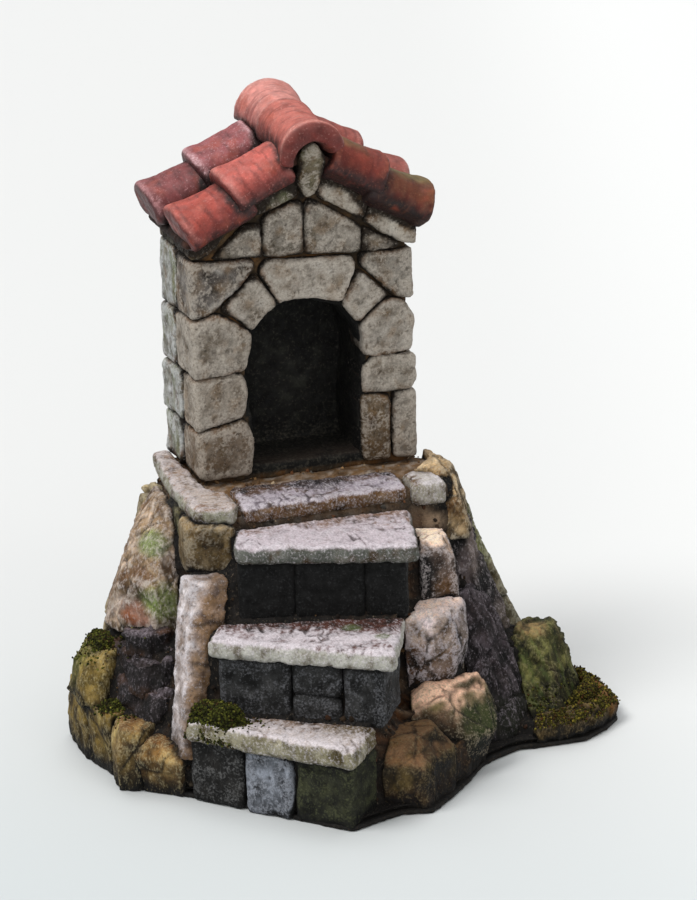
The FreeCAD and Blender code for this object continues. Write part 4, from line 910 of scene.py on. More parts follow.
def niche_black_and_shade(nm):
    """Inside of the niche blacked, round the arris and in: the niche's dark paint and painted shade of the recess."""
    for s in surfs[nm]:
        v = s.v
        near = (v[:, 0] > -10.4) & (v[:, 0] < 11.2) & (v[:, 2] > 39.0) & (v[:, 2] < 69.0)
        back = sstep(0.35, 1.5, v[:, 1] + 0.5 * fbm(v, 2.0, 881, 2) + 0.6 * sstep(-0.2, -0.7, s.n[:, 0]))
        turned = sstep(-0.80, -0.30, s.n[:, 1])
        k = near * np.maximum(back, 0.0) * np.maximum(turned, 0.2)
        s.paint = mix(s.paint, lin((10, 9, 8)), np.clip(k * 1.3, 0, 1))
        s.mask = s.mask * (1 - np.clip(k * 1.3, 0, 1))


# wall stones: beige grey, the lower jambs browner, the gable darker
for nm, kw in {
    "quoin_left_1": dict(base=(124, 110, 96), lo=(96, 80, 60), brown=0.6, shade=0.3),
    "quoin_left_2": dict(base=(152, 142, 130), brown=0.15, shade=0.25),
    "quoin_left_3": dict(base=(154, 145, 134), shade=0.2),
    "quoin_right_1": dict(base=(96, 80, 60), lo=(68, 52, 37), hi=(128, 112, 94), brown=0.6, dk=0.8),
    "quoin_right_2": dict(base=(132, 124, 114), brown=0.2, shade=0.3),
    "quoin_right_3": dict(base=(154, 146, 135), shade=0.2),
    "quoin_right_4": dict(base=(154, 146, 136), hi=(174, 166, 156)),
    "voussoir_left": dict(base=(156, 147, 136), hi=(174, 166, 156)),
    "keystone": dict(base=(168, 159, 148), lo=(130, 118, 104), hi=(180, 172, 162), shade=0.0),
    "voussoir_right": dict(base=(156, 148, 138), hi=(174, 166, 156)),
    "spandrel_left": dict(base=(98, 91, 86), lo=(48, 42, 38), hi=(152, 146, 139), sk=0.7, stain=(58, 48, 38)),
    "spandrel_right": dict(base=(132, 125, 116), sk=0.6),
    "tympanum_stones": dict(base=(132, 124, 114), lo=(92, 84, 72), shade=0.2, sk=0.7, stain=(66, 58, 46)),
    "verge_stones_left": dict(base=(104, 100, 84), lo=(66, 64, 50), hi=(134, 128, 112), green=0.5, sk=0.7, stain=(52, 48, 36)),
    "verge_stones_right": dict(base=(182, 172, 158), lo=(128, 116, 100), hi=(196, 188, 176), brown=0.2, shade=0.1, sk=0.65, stain=(62, 50, 38)),
    "apex_stone": dict(base=(120, 109, 88), lo=(88, 78, 60), hi=(140, 130, 114), green=0.25, shade=0.35),
    "left_wall_stones": dict(base=(150, 149, 142), lo=(104, 102, 92), hi=(178, 178, 178), green=0.5, dryc=(200, 200, 200), shade=0.2, sk=0.7),
    "right_wall_stones": dict(base=(132, 122, 108), green=0.3, shade=0.2),
    "back_wall_stones": dict(base=(138, 130, 117), green=0.3, shade=0.2),
}.items():
    kw = dict(kw)
    st_ = kw.pop("stain", (84, 68, 50))
    coat(nm, lambda s, j, sd, kw=kw, st_=st_: paint_wall(s, sd, stain=st_, **kw))

for nm in ("quoin_left_1", "quoin_left_2", "quoin_left_3", "quoin_right_1", "quoin_right_2", "quoin_right_3", "voussoir_left", "keystone",
           "voussoir_right"):
    niche_black_and_shade(nm)

coat("tread_1", lambda s, j, sd: paint_tread(s, sd, light=(186, 176, 174), under=(120, 94, 70), face=(128, 122, 98), face2=(76, 66, 36), lip=(170, 164, 146),
                                             cover=0.72, back=0.48, blots=[((-6, -40, 11.5), (5, 6, 3), (92, 78, 40), 0.75), ((-7, -33, 13), (5, 4, 2), (96, 66, 40), 0.6)]))
coat("tread_2", lambda s, j, sd: paint_tread(s, sd, light=(182, 172, 176), under=(92, 52, 40), deep=(48, 34, 30), face=(164, 162, 152), face2=(112, 104, 88),
                                             lip=(192, 190, 182), cover=0.70, back=0.85,
                                             blots=[((-4, -32, 24.8), (1.4, 1.2, 1), (84, 104, 60), 0.7), ((-1, -37, 24.8), (1.2, 1.2, 1), (96, 112, 66), 0.6)]))
coat("tread_3", lambda s, j, sd: paint_tread(s, sd, light=(180, 168, 174), under=(122, 96, 80), deep=(74, 58, 50), face=(84, 86, 79), face2=(72, 57, 38),
                                             lip=(120, 120, 113), cover=0.80, back=0.45, face_k=0.35))
coat("sill_slab", lambda s, j, sd: paint_tread(s, sd, light=(160, 150, 160), under=(86, 64, 50), deep=(32, 26, 26), face=(104, 76, 50), face2=(62, 42, 26),
                                               lip=(140, 120, 98), cover=0.62, back=0.55, blots=[((0, -6, 38.8), (3.4, 4, 1.5), (44, 40, 44), 0.7)]))
coat("sill_stub", lambda s, j, sd: paint_tread(s, sd, light=(176, 170, 162), under=(110, 86, 60), face=(140, 134, 118), face2=(84, 66, 46), cover=0.80, back=0.3))
coat("left_kerb", lambda s, j, sd: paint_tread(s, sd, light=(172, 158, 148), under=(134, 98, 62), deep=(84, 60, 38), face=(140, 138, 118), face2=(90, 74, 50),
                                               cover=0.60, back=0.0))


def riser(base, fleck, k, pit=0.9):
    def f(s, j, sd):
        c = start(s, base, tuple(x * 0.5 for x in base), tuple(min(255, x * 1.5) for x in base), sd, 2.2)
        c = zenith(s, c, sd, 0.35)
        c = grime_and_shade(s, c, (7, 6, 5), 1.0, 0.14, 0.40, seed=sd, stain=(26, 20, 15), sk=0.4, s_lo=0.30, s_hi=0.55)
        c = punch(c, 0.8, 0.4, 1.5)
        rub = sstep(0.05, 0.40, fbm(s.v, 2.6, sd + 21, 2)) * sstep(-0.15, 0.30, fbm(s.v, 0.6, sd + 23, 2))
        return c, lin(fleck), k * np.maximum(drybrush_highlight(s, -0.02, 0.05, seed=sd), 0.75 * rub), pit + 0 * s.occ
    return f


coat("riser_3_blocks", riser((6, 6, 6), (66, 67, 68), 0.28))
coat("riser_2_blocks", riser((29, 29, 29), (122, 123, 128), 0.55))
r1 = [riser((17, 16, 15), (120, 120, 120), 0.6), riser((78, 81, 87), (168, 172, 182), 0.9), riser((28, 29, 18), (92, 96, 66), 0.5)]
coat("riser_1_blocks", lambda s, j, sd: r1[j](s, j, sd))

coat("left_kerb_blocks", lambda s, j, sd: paint_rock(s, sd, *[((100, 84, 60), (72, 54, 34), (128, 114, 92)), ((106, 102, 76), (80, 74, 50), (130, 126, 100))][j],
                                                     dryc=(166, 156, 138), shade=0.4))


def stringer(s, j, sd):
    v = s.v
    c, d, m, p = paint_rock(s, sd, (136, 128, 126), (104, 92, 84), (172, 167, 168), (206, 203, 210), 0.9, size=2.2, shade=0.25)
    t = 0.8 * v[:, 0] - 0.6 * v[:, 1]
    # The right half browner and darker, painted shade on that side, with little dry-brush highlight; the dark bands
    # across it are the block joints.
    right = sstep(-1.4, 1.6, t - np.median(t) + 0.9 * fbm(v, 2.2, sd + 3, 3))
    c = mix(c, mix(np.repeat(lin((128, 98, 66))[None], len(v), 0), lin((74, 52, 34)), sstep(-0.1, 0.35, fbm(v, 1.8, sd + 7, 3))), 0.85 * right)
    z = (v[:, 2] + 0.9 * fbm(v, 3.0, sd + 9, 2)) / 5.6
    c = mix(c, lin((98, 84, 72)), 0.5 * sstep(0.0, 0.40, fbm(v, 2.4, sd + 15, 3)))
    c = mix(c, lin((34, 24, 17)), 0.8 * right * (1 - sstep(0.0, 0.09, np.abs((z % 1.0) - 0.5))))
    return c, d, m * (1 - 0.85 * right), p


coat("left_stringer", stringer)
def streaked(s, c, cols, seed, k=0.6, wide=0.9, long_=5.0):
    """Upright brush streaks in several colours."""
    v = s.v
    a = v[:, 0] * 0.9 + v[:, 1] * 0.45
    for i, rgb in enumerate(cols):
        q = np.stack([a / wide, v[:, 2] / long_, a * 0 + seed + i * 3.1], 1)
        c = mix(c, lin(rgb), k * sstep(0.08, 0.32, fbm(q, 1.0, seed + i * 11, 3)))
    return c


def crag(s, j, sd):
    c, d, m, p = crag_base(s, j, sd)
    c = streaked(s, c, [(92, 66, 44), (182, 168, 158), (112, 78, 48), (46, 34, 26)], sd + 3, 0.55, 1.5, 8.0)
    c = mix(c, lin((196, 186, 176)), 0.6 * sstep(0.12, 0.36, fbm(s.v, 1.1, sd + 17, 3)))
    c = mix(c, lin((64, 46, 32)), 0.6 * sstep(0.16, 0.40, fbm(s.v, 1.3, sd + 19, 3)))
    c = blot(s, c, (126, 66, 38), (-31, -10, 23), (2.4, 4, 1.8), 0.55, sd)
    c = blot(s, c, (112, 126, 76), (-27, -10, 25), (2.6, 5, 2.4), 0.6, sd + 5)
    c = blot(s, c, (112, 126, 80), (-28, -8, 33.0), (2.6, 4, 1.8), 0.6, sd + 9)
    return c, d, m * 0.8, p


coat("left_crag", crag_base := lambda s, j, sd: paint_rock(s, sd, (124, 106, 86), (78, 60, 42), (164, 146, 130), (204, 192, 186), 0.8, blots=[
    ((-31, -10, 23), (2.6, 4, 2.0), (150, 84, 46), 0.6), ((-27, -10, 25), (3, 5, 2.6), (108, 124, 72), 0.8), ((-25, -9, 21.5), (2.5, 5, 2.0), (96, 112, 62), 0.8),
    ((-28, -8, 33.5), (3, 4, 1.8), (116, 128, 80), 0.8), ((-25.5, -8, 29), (1.4, 4, 6), (70, 54, 42), 0.7), ((-29.5, -9, 29), (1.0, 4, 4), (84, 64, 46), 0.6)], shade=0.4))
coat("left_crag", crag)
coat("left_boulder", lambda s, j, sd: paint_rock(s, sd, (86, 72, 39), (40, 34, 17), (128, 110, 70), (178, 164, 122), 0.5, low=(62, 46, 24), lowk=0.4,
                                                 blots=[((-38, -2, 15), (3, 5, 6), (86, 90, 44), 0.5)]))
coat("left_columns", lambda s, j, sd: paint_rock(s, sd, *[((112, 94, 54), (56, 44, 22), (146, 128, 82)), ((108, 90, 52), (50, 40, 20), (140, 124, 80)),
                                                          ((104, 86, 56), (50, 38, 21), (138, 122, 86)), ((98, 76, 48), (48, 34, 20), (130, 110, 78))][j],
                                                 dryc=(182, 168, 130), dk=0.55, top=(88, 54, 30), topk=0.6, low=(42, 33, 17), lowk=0.75))
coat("left_ledges", lambda s, j, sd: paint_tread(s, sd, light=(92, 82, 88), under=(40, 32, 31), deep=(22, 18, 18), face=(30, 26, 26), face2=(14, 12, 12),
                                                 lip=(58, 52, 54), cover=0.52, back=0.35, dryc=(168, 158, 166), dk=0.45, face_k=0.5))
coat("landing_rock", lambda s, j, sd: paint_rock(s, sd, (132, 112, 86), (84, 62, 42), (174, 154, 126), (200, 186, 162), 0.8, shade=0.4))
coat("right_slab", lambda s, j, sd: paint_rock(s, sd, (122, 114, 96), (84, 74, 55), (164, 158, 138), (196, 192, 172), 0.8,
                                               blots=[((28, -3, 28), (5, 4, 6), (122, 128, 82), 0.5)]))
def shadowy(base, cols, blots, k=0.6):
    """Dark rock: black patches of painted shade for the hollows, streaks, and a few pale brushed patches of painted
    highlight.
    """
    def f(s, j, sd):
        c, d, m, p = base(s, j, sd)
        c = streaked(s, c, cols, sd + 3, k)
        c = mix(c, lin((12, 10, 10)), 0.75 * sstep(0.0, 0.42, fbm(s.v, 4.6, sd + 31, 2)))
        for i, (at, r, rgb, kk) in enumerate(blots):
            c = blot(s, c, rgb, at, r, kk, sd + 40 + i * 7)
        return c, d, m, p
    return f


coat("right_dark_rock", dark_base := lambda s, j, sd: paint_rock(s, sd, (52, 45, 43), (18, 16, 15), (92, 83, 80), (190, 180, 182), 0.5, wash=(9, 7, 7)))
coat("right_dark_rock", shadowy(dark_base, [(82, 74, 74), (26, 23, 23)], [((19.4, -12.5, 29), (2.2, 5, 2.6), (10, 8, 9), 0.97), ((22.6, -11, 27.0), (1.3, 5, 4.5), (126, 112, 106), 0.7), ((20.5, -14, 23), (1.4, 4, 4.0), (118, 104, 104), 0.5),
                                                                         ((24.5, -12, 20), (2.4, 4, 3.0), (20, 18, 20), 0.85), ((27, -10, 15), (3, 4, 2.2), (104, 92, 82), 0.55)]))
coat("right_striated_rock", strip_base := lambda s, j, sd: paint_rock(s, sd, (56, 49, 50), (20, 17, 17), (84, 76, 80), (160, 150, 158), 0.45, wash=(11, 9, 9), low=(28, 29, 17), lowk=0.8))
coat("right_striated_rock", shadowy(strip_base, [(96, 88, 92), (18, 16, 16), (58, 52, 54)], [((24, -22, 3.5), (5, 6, 3.0), (26, 28, 16), 0.85)]))


def boulder(s, j, sd):
    c, d, m, p = boulder_base(s, j, sd)
    return streaked(s, c, [(34, 34, 18), (112, 112, 66), (70, 84, 38), (66, 52, 34), (28, 26, 18)], sd + 3, 0.55), d, m, p


coat("mossy_boulder", boulder_base := lambda s, j, sd: paint_rock(s, sd, (60, 60, 34), (20, 21, 11), (100, 98, 62), (150, 142, 100), 0.45, wash=(9, 9, 5), low=(24, 26, 14), lowk=0.7,
                                                  blots=[((31, -14, 13.5), (2.6, 3, 1.2), (136, 114, 84), 0.8)]))
coat("mossy_boulder", boulder)
coat("toe_shelf", lambda s, j, sd: paint_rock(s, sd, (64, 52, 32), (30, 25, 13), (94, 79, 52), (136, 118, 84), 0.5, wash=(12, 10, 7),
                                              blots=[((42, -18, 3), (3, 8, 3), (112, 68, 36), 0.7)]))
# Cheek stone 1: the near-black blot on its left is a painted shadow.
coat("cheek_stone_1", lambda s, j, sd: paint_rock(s, sd, (88, 75, 68), (44, 34, 28), (136, 123, 117), (214, 204, 203), 0.75, low=(40, 30, 21), lowk=0.85,
                                                  top=(206, 180, 160), topk=0.8,
                                                  blots=[((10.6, -22.5, 27.8), (2.0, 4.5, 3.4), (24, 22, 22), 0.95), ((14.5, -21, 25.5), (2.6, 4, 2.2), (98, 70, 42), 0.7)]))
coat("cheek_stone_2", lambda s, j, sd: paint_rock(s, sd, (138, 125, 117), (84, 67, 52), (180, 168, 168), (212, 204, 210), 0.9, low=(88, 60, 36), lowk=0.95, lowh=0.75,
                                                  top=(196, 172, 158), topk=0.7, blots=[((6.0, -28, 16.5), (2.6, 3.5, 4.0), (84, 56, 34), 0.9)]))
coat("cheek_stone_3", lambda s, j, sd: paint_rock(s, sd, (92, 78, 64), (50, 38, 28), (128, 116, 104), (170, 160, 150), 0.7, top=(140, 120, 102), topk=0.7))
coat("cheek_stone_4", lambda s, j, sd: paint_rock(s, sd, (66, 60, 38), (30, 29, 16), (96, 88, 60), (172, 158, 134), 0.5, top=(188, 156, 138), topk=0.9,
                                                  blots=[((15, -33, 7.0), (6, 5, 4.2), (44, 54, 24), 0.95), ((7, -35.5, 6.5), (5.5, 5, 4.2), (46, 33, 21), 0.9)],
                                                  low=(36, 28, 18), lowk=0.6))
coat("cheek_stone_5", lambda s, j, sd: paint_rock(s, sd, (46, 37, 22), (20, 16, 10), (74, 62, 38), (126, 110, 80), 0.5, low=(66, 36, 18), lowk=0.6,
                                                  top=(116, 88, 66), topk=0.6))
coat("cheek_stone_6", lambda s, j, sd: paint_rock(s, sd, (66, 45, 26), (28, 20, 13), (98, 70, 42), (136, 112, 82), 0.5))
def rear(s, j, sd):
    for k_ in ("nb", "nb2", "occ"):
        q = getattr(s, k_)[:, None]
        for _ in range(3):
            q = s.mean(q)
        setattr(s, k_, q[:, 0] * (0.85 if k_ == "occ" else 0.60))
    c, d, m, p = paint_rock(s, sd, (112, 100, 78), (70, 58, 42), (150, 138, 112), (190, 180, 158), 0.7,
                            blots=[((-22, 20, 20), (7, 6, 6), (104, 114, 66), 0.5), ((18, 20, 12), (8, 6, 7), (98, 108, 62), 0.5),
                                   ((0, 22, 28), (8, 6, 5), (140, 96, 58), 0.4), ((30, 10, 20), (4, 5, 5), (112, 118, 74), 0.5)], low=(58, 54, 32), lowk=0.6)
    return streaked(s, c, [(88, 70, 48), (162, 148, 124)], sd + 3, 0.35), d, m, p


for nm in ("rear_rock_left", "rear_rock_middle", "rear_rock_right"):
    coat(nm, rear)


def mud_and_crevice_shade(s, j, sd):
    v = s.v
    # Near-black base: painted shade in the crevices; brown grit only on the terrace, in the warm patch right of the
    # lower stairs and on the shelf.
    c = start(s, (27, 20, 14), (11, 9, 7), (52, 38, 25), sd, 2.2)
    terrace = sstep(35.5, 37.8, v[:, 2])
    c = mix(c, mix(np.repeat(lin((132, 100, 66))[None], len(v), 0), lin((180, 166, 152)), sstep(-0.1, 0.35, fbm(v, 1.5, sd + 3, 3))), 0.85 * terrace)
    c = mix(c, lin((60, 42, 26)), 0.7 * terrace * sstep(0.0, 0.4, fbm(v, 2.4, sd + 5, 3)))
    warm = np.exp(-(((v[:, 0] - 4) / 9.0) ** 2 + ((v[:, 1] + 34) / 12.0) ** 2))
    c = mix(c, lin((110, 70, 38)), np.clip(0.15 + 0.7 * warm, 0, 1) * sstep(0.0, 0.4, fbm(v, 2.4, sd + 7, 3)))
    c = mix(c, lin((134, 108, 84)), 0.7 * warm * sstep(0.1, 0.4, fbm(v, 1.1, sd + 9, 3)))
    shelf = np.exp(-(((v[:, 0] - 17) / 5.0) ** 2 + ((v[:, 1] + 10) / 6.0) ** 2 + ((v[:, 2] - 33.0) / 3.6) ** 2))
    c = mix(c, mix(np.repeat(lin((138, 116, 94))[None], len(v), 0), lin((86, 62, 42)), sstep(-0.1, 0.3, fbm(v, 1.8, sd + 17, 3))), np.clip(1.3 * shelf, 0, 0.9))
    # Darker towards the bottom.
    c = mix(c, lin((18, 15, 12)), sstep(3.0, 1.0, v[:, 2] + 0.8 * fbm(v, 3, sd + 8, 2)))
    # Painted shade: near black where other pieces come near.
    c = mix(c, lin((13, 10, 8)), sstep(0.12, 0.34, s.nb + 0.1 * fbm(v, 1.3, sd + 11, 2)) * (1 - 0.5 * terrace) * (1 - 0.5 * warm))
    m = 0.5 * sstep(-0.02, 0.04, s.cv) * sstep(0.0, 0.4, fbm(v, 1.6, sd + 13, 3) + 0.2) * sstep(1.5, 4.0, v[:, 2]) * np.clip(0.2 + terrace + warm, 0, 1)
    return c, lin((168, 150, 128)), m, 0.9 + 0 * s.occ


coat("rock_fill", mud_and_crevice_shade)


def core(s, j, sd):
    c, d, m, p = paint_dark(s, sd, (52, 40, 26), (112, 88, 56), 0.4)
    v = s.v
    c = mix(c, lin((112, 74, 34)), 0.6 * sstep(0.0, 0.4, fbm(v, 3.5, sd + 14, 2)))
    inside = (v[:, 0] > -9.4) & (v[:, 0] < 10.2) & (v[:, 2] > 39.4) & (v[:, 2] < 67.6) & (v[:, 1] > 0.6) & (v[:, 1] < 13.5)
    # Inside the niche: near black, the niche's dark paint and painted shade of the recess.
    k = start(s, (20, 19, 17), (7, 6, 6), (38, 38, 33), sd + 1, 2.6)
    # Painted light: a paler pool at the lower middle of the back wall, the rest of the niche in painted shade.
    niche_light_pool = np.exp(-(((v[:, 0] - 0.5) / 6.5) ** 2 + ((v[:, 2] - 51) / 7.5) ** 2))
    k = k * (0.45 + 0.9 * niche_light_pool)[:, None]
    # Painted light: the up-facing floor near the opening lighter.
    k = mix(k, lin((48, 38, 32)), 0.8 * sstep(0.6, 0.9, s.n[:, 2]) * sstep(9, 2, v[:, 1]))
    k = mix(k, lin((6, 5, 5)), 0.8 * sstep(0.0, 0.6, fbm(v, 3.5, sd + 4, 2)))
    c = np.where(inside[:, None], k, c)
    # Painted highlight: more dry brush low in the niche.
    m = np.where(inside, 0.10 + 0.35 * sstep(45, 41, v[:, 2]) * (0.6 + 0.6 * fbm(v, 3, sd + 6, 2)), m)
    return c, lin((84, 80, 70)), m, p


coat("shrine_core", core)
# Roof bedding painted dark brown-black: painted shade under the tiles.
coat("roof_deck", lambda s, j, sd: paint_dark(s, sd, (40, 24, 18), (84, 58, 44), 0.4))
coat("base_board", lambda s, j, sd: paint_dark(s, sd, (15, 13, 11), (64, 52, 38), 0.3))

LAX, RAX = (-0.84, 0, -0.54), (0.84, 0, -0.54)
lt = [dict(top=(122, 60, 60), side=(88, 36, 37), under=(50, 18, 18), dryc=(214, 160, 162), dk=0.55),
      dict(top=(166, 72, 60), side=(110, 39, 35), under=(56, 19, 16), dryc=(212, 138, 128), dk=0.3),
      dict(top=(146, 78, 80), side=(102, 45, 48), under=(56, 21, 21), dryc=(232, 194, 198), dk=0.6),
      dict(top=(188, 92, 81), side=(126, 50, 44), under=(62, 22, 18), dryc=(224, 156, 146), dk=0.3)]
coat("roof_tiles_left", lambda s, j, sd: paint_tile(s, sd, axis=LAX, **lt[j]))
GREEN = (110, 98, 58)
rt = [dict(top=(120, 48, 35), side=(92, 28, 20), under=(40, 12, 9), dryc=(178, 104, 84), blots=[((8, 3, 90), (4, 4, 3), GREEN, 0.55)], dk=0.3),
      dict(top=(150, 76, 66), side=(112, 44, 38), under=(50, 18, 15), dryc=(212, 154, 144), blots=[]),
      dict(top=(100, 52, 31), side=(86, 27, 16), under=(32, 10, 7), dryc=(150, 106, 76), blots=[((19, 3, 84), (7, 3.2, 3.6), GREEN, 0.8)], dk=0.3),
      dict(top=(150, 80, 70), side=(112, 44, 37), under=(50, 18, 15), dryc=(208, 154, 144), blots=[])]
coat("roof_tiles_right", lambda s, j, sd: paint_tile(s, sd, axis=RAX, **rt[j]))
coat("ridge_tile_front", lambda s, j, sd: paint_tile(s, sd, top=(186, 102, 90), side=(116, 50, 43), under=(48, 16, 13), dryc=(226, 166, 154), axis=(0, 1, 0.02), blots=[((0.9, -7.2, 89.5), (6.0, 2.2, 6.0), (104, 38, 32), 0.9)]))
coat("ridge_tile_rear", lambda s, j, sd: paint_tile(s, sd, top=(204, 132, 122), side=(142, 74, 68), under=(70, 28, 25), dryc=(238, 196, 188), axis=(0, 1, 0.02)))


# ------------------------------------------------------------------ materials
def material(name, fleck=0.42, fleck_k=0.55, pit=0.55, pit_k=0.6, grain=0.22, stretch=(1, 1, 1), rough=(0.72, 0.95), bump=0.12, spec=0.3):
    m = bpy.data.materials.new(name)
    m.use_nodes = True
    nt = m.node_tree
    nt.nodes.clear()
    N = nt.nodes.new
    L = nt.links.new

    def noise(size, detail=2.0, rough_=0.55, seed=0.0, stretch_=(1, 1, 1)):
        mp = N("ShaderNodeMapping")
        mp.inputs["Scale"].default_value = [1000 / size * x for x in stretch_]
        mp.inputs["Location"].default_value = (seed * 7.3, seed * 3.1, seed * 5.7)
        L(tc.outputs["Object"], mp.inputs["Vector"])
        n = N("ShaderNodeTexNoise")
        n.inputs["Scale"].default_value = 1.0
        n.inputs["Detail"].default_value = detail
        n.inputs["Roughness"].default_value = rough_
        L(mp.outputs["Vector"], n.inputs["Vector"])
        return n.outputs["Fac"]

    def math_(op, a, b=None, c=None, clamp=False):
        n = N("ShaderNodeMath")
        n.operation = op
        n.use_clamp = clamp
        for i, x in enumerate((a, b, c)):
            if x is None:
                continue
            if isinstance(x, (int, float)):
                n.inputs[i].default_value = x
            else:
                L(x, n.inputs[i])
        return n.outputs[0]

    def ramp(x, a, b, lo=0.0, hi=1.0):
        n = N("ShaderNodeMapRange")
        n.interpolation_type = "SMOOTHSTEP"
        for k, val in (("From Min", a), ("From Max", b), ("To Min", lo), ("To Max", hi)):
            if isinstance(val, (int, float)):
                n.inputs[k].default_value = val
            else:
                L(val, n.inputs[k])
        L(x, n.inputs["Value"])
        return n.outputs["Result"]

    def blend(kind, fac, a, b):
        n = N("ShaderNodeMix")
        n.data_type = "RGBA"
        n.blend_type = kind
        for sock, val in ((n.inputs["Factor"], fac), (n.inputs[6], a), (n.inputs[7], b)):
            if isinstance(val, (int, float)):
                sock.default_value = val
            elif isinstance(val, tuple):
                sock.default_value = val
            else:
                L(val, sock)
        return n.outputs[2]

    tc = N("ShaderNodeTexCoord")

    def attr(nm_):
        a = N("ShaderNodeAttribute")
        a.attribute_type = "GEOMETRY"
        a.attribute_name = nm_
        return a

    paint, dryc, info = attr("paint"), attr("dryc"), attr("info")
    sep = N("ShaderNodeSeparateColor")
    L(info.outputs["Color"], sep.inputs["Color"])
    mask, pitty, _free = sep.outputs[0], sep.outputs[1], sep.outputs[2]
    # Dry-brush flecks: the painted highlight colour mixed in where the highlight mask allows.
    n1 = noise(fleck, 5.0, 0.68, 1, stretch)
    th = math_("MULTIPLY_ADD", mask, -0.34, 0.66)
    f = ramp(n1, math_("SUBTRACT", th, 0.11), math_("ADD", th, 0.13))
    col = blend("MIX", math_("MULTIPLY", f, fleck_k), paint.outputs["Color"], dryc.outputs["Color"])
    n2 = noise(pit, 5.0, 0.72, 2)
    p = math_("MULTIPLY", ramp(n2, 0.57, 0.65), math_("MULTIPLY", pitty, pit_k))
    dark = blend("MULTIPLY", 1.0, col, (0.34, 0.28, 0.22, 1.0))
    col = blend("MIX", p, col, dark)
    n3 = noise(0.30, 4.0, 0.75, 3)
    g = ramp(n3, 0.3, 0.7, 1 - grain, 1 + grain)
    hsv = N("ShaderNodeHueSaturation")
    L(col, hsv.inputs["Color"])
    L(g, hsv.inputs["Value"])
    bs = N("ShaderNodeBsdfPrincipled")
    L(hsv.outputs["Color"], bs.inputs["Base Color"])
    n4 = noise(1.3, 3.0, 0.6, 4)
    L(ramp(n4, 0.3, 0.7, rough[0], rough[1]), bs.inputs["Roughness"])
    bs.inputs["Specular IOR Level"].default_value = spec
    nb = noise(0.5, 4.0, 0.65, 5)
    h = math_("ADD", math_("MULTIPLY", nb, 1.0), math_("MULTIPLY", p, -0.9))
    h = math_("ADD", h, math_("MULTIPLY", f, 0.25))
    bp = N("ShaderNodeBump")
    bp.inputs["Strength"].default_value = 0.8
    bp.inputs["Distance"].default_value = bump * MM
    L(h, bp.inputs["Height"])
    L(bp.outputs["Normal"], bs.inputs["Normal"])
    out = N("ShaderNodeOutputMaterial")
    L(bs.outputs["BSDF"], out.inputs["Surface"])
    return m


MATS = {
    "wall_stone": material("painted_wall_stone", fleck_k=0.62, bump=0.17),
    "slab_stone": material("painted_slab_stone", fleck=0.40, fleck_k=0.62, pit=0.5, pit_k=0.55, stretch=(1.3, 0.55, 1.1)),
    "riser_stone": material("painted_riser_stone", fleck=0.34, fleck_k=0.50, pit=0.5, pit_k=0.5),
    "cheek_stone": material("painted_cheek_stone", fleck=0.36, fleck_k=0.5, pit=0.5, bump=0.16),
    "rock": material("painted_rock", fleck=0.36, fleck_k=0.50, pit=0.5, pit_k=0.65, bump=0.18, stretch=(1.2, 1.2, 0.6)),
    "mortar": material("painted_mortar", fleck=0.45, fleck_k=0.5, pit=0.4),
    "roof_tile": material("painted_terracotta", fleck=0.34, fleck_k=0.55, pit=0.7, pit_k=0.35, grain=0.10, rough=(0.45, 0.75), bump=0.07, spec=0.4),
    "roof_bedding": material("painted_bedding", fleck=0.4, pit=0.4),
    "base_edge": material("painted_base_edge", fleck=0.4, pit=0.4, rough=(0.6, 0.9)),
}
slot_of = {r["node"]: r["material_slot"] for r in frame["record"]["subparts"]}


def to_object(nm):
    parts = surfs[nm]
    v = np.concatenate([s.v for s in parts])
    off = np.cumsum([0] + [len(s.v) for s in parts])
    q = np.concatenate([s.q + o for s, o in zip(parts, off)])
    bits = LOOSE_BITS.get(nm)
    loops, starts, soft = q.ravel(), np.arange(len(q)) * 4, np.ones(len(q), bool)
    if bits is not None:
        bv, bf, bc = bits
        loops = np.concatenate([loops, (bf + len(v)).ravel()])
        starts = np.concatenate([starts, q.size + np.arange(len(bf)) * 3])
        soft = np.concatenate([soft, np.zeros(len(bf), bool)])
        v = np.concatenate([v, bv])
    v = (v + SHIFT) * MM
    v[:, 2] = np.maximum(v[:, 2], 0.0)
    me = bpy.data.meshes.new(nm + "_look")
    me.vertices.add(len(v))
    me.vertices.foreach_set("co", v.ravel())
    me.loops.add(len(loops))
    me.loops.foreach_set("vertex_index", loops.astype(np.int32))
    me.polygons.add(len(starts))
    me.polygons.foreach_set("loop_start", starts.astype(np.int32))
    me.polygons.foreach_set("use_smooth", soft)
    me.update(calc_edges=True)

    def put(name, arr):
        a = me.attributes.new(name, "FLOAT_COLOR", "POINT")
        rgba = np.ones((len(v), 4))
        rgba[:, :3] = arr
        a.data.foreach_set("color", rgba.ravel())

    ext = (lambda a, b: a) if bits is None else (lambda a, b: np.concatenate([a, b]))
    k = 0 if bits is None else len(bits[0])
    put("paint", np.clip(ext(np.concatenate([s.paint for s in parts]), bits[2] if k else None), 0, 1))
    put("dryc", ext(np.concatenate([np.repeat(np.asarray(s.dryc)[None], len(s.v), 0) for s in parts]), np.clip(bits[2] * 1.8, 0, 1) if k else None))
    put("info", np.clip(ext(np.stack([np.concatenate([s.mask for s in parts]), np.concatenate([s.pitty for s in parts]),
                                      np.concatenate([s.occ for s in parts])], 1), np.repeat(np.array([[0.3, 0.4, 0.0]]), k, 0) if k else None), 0, 1))
    ob = bpy.data.objects.new(nm + "_look", me)
    bpy.context.scene.collection.objects.link(ob)
    me.materials.append(MATS[slot_of[nm]])
    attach(ob, "root")
    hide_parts(nm)
    return ob


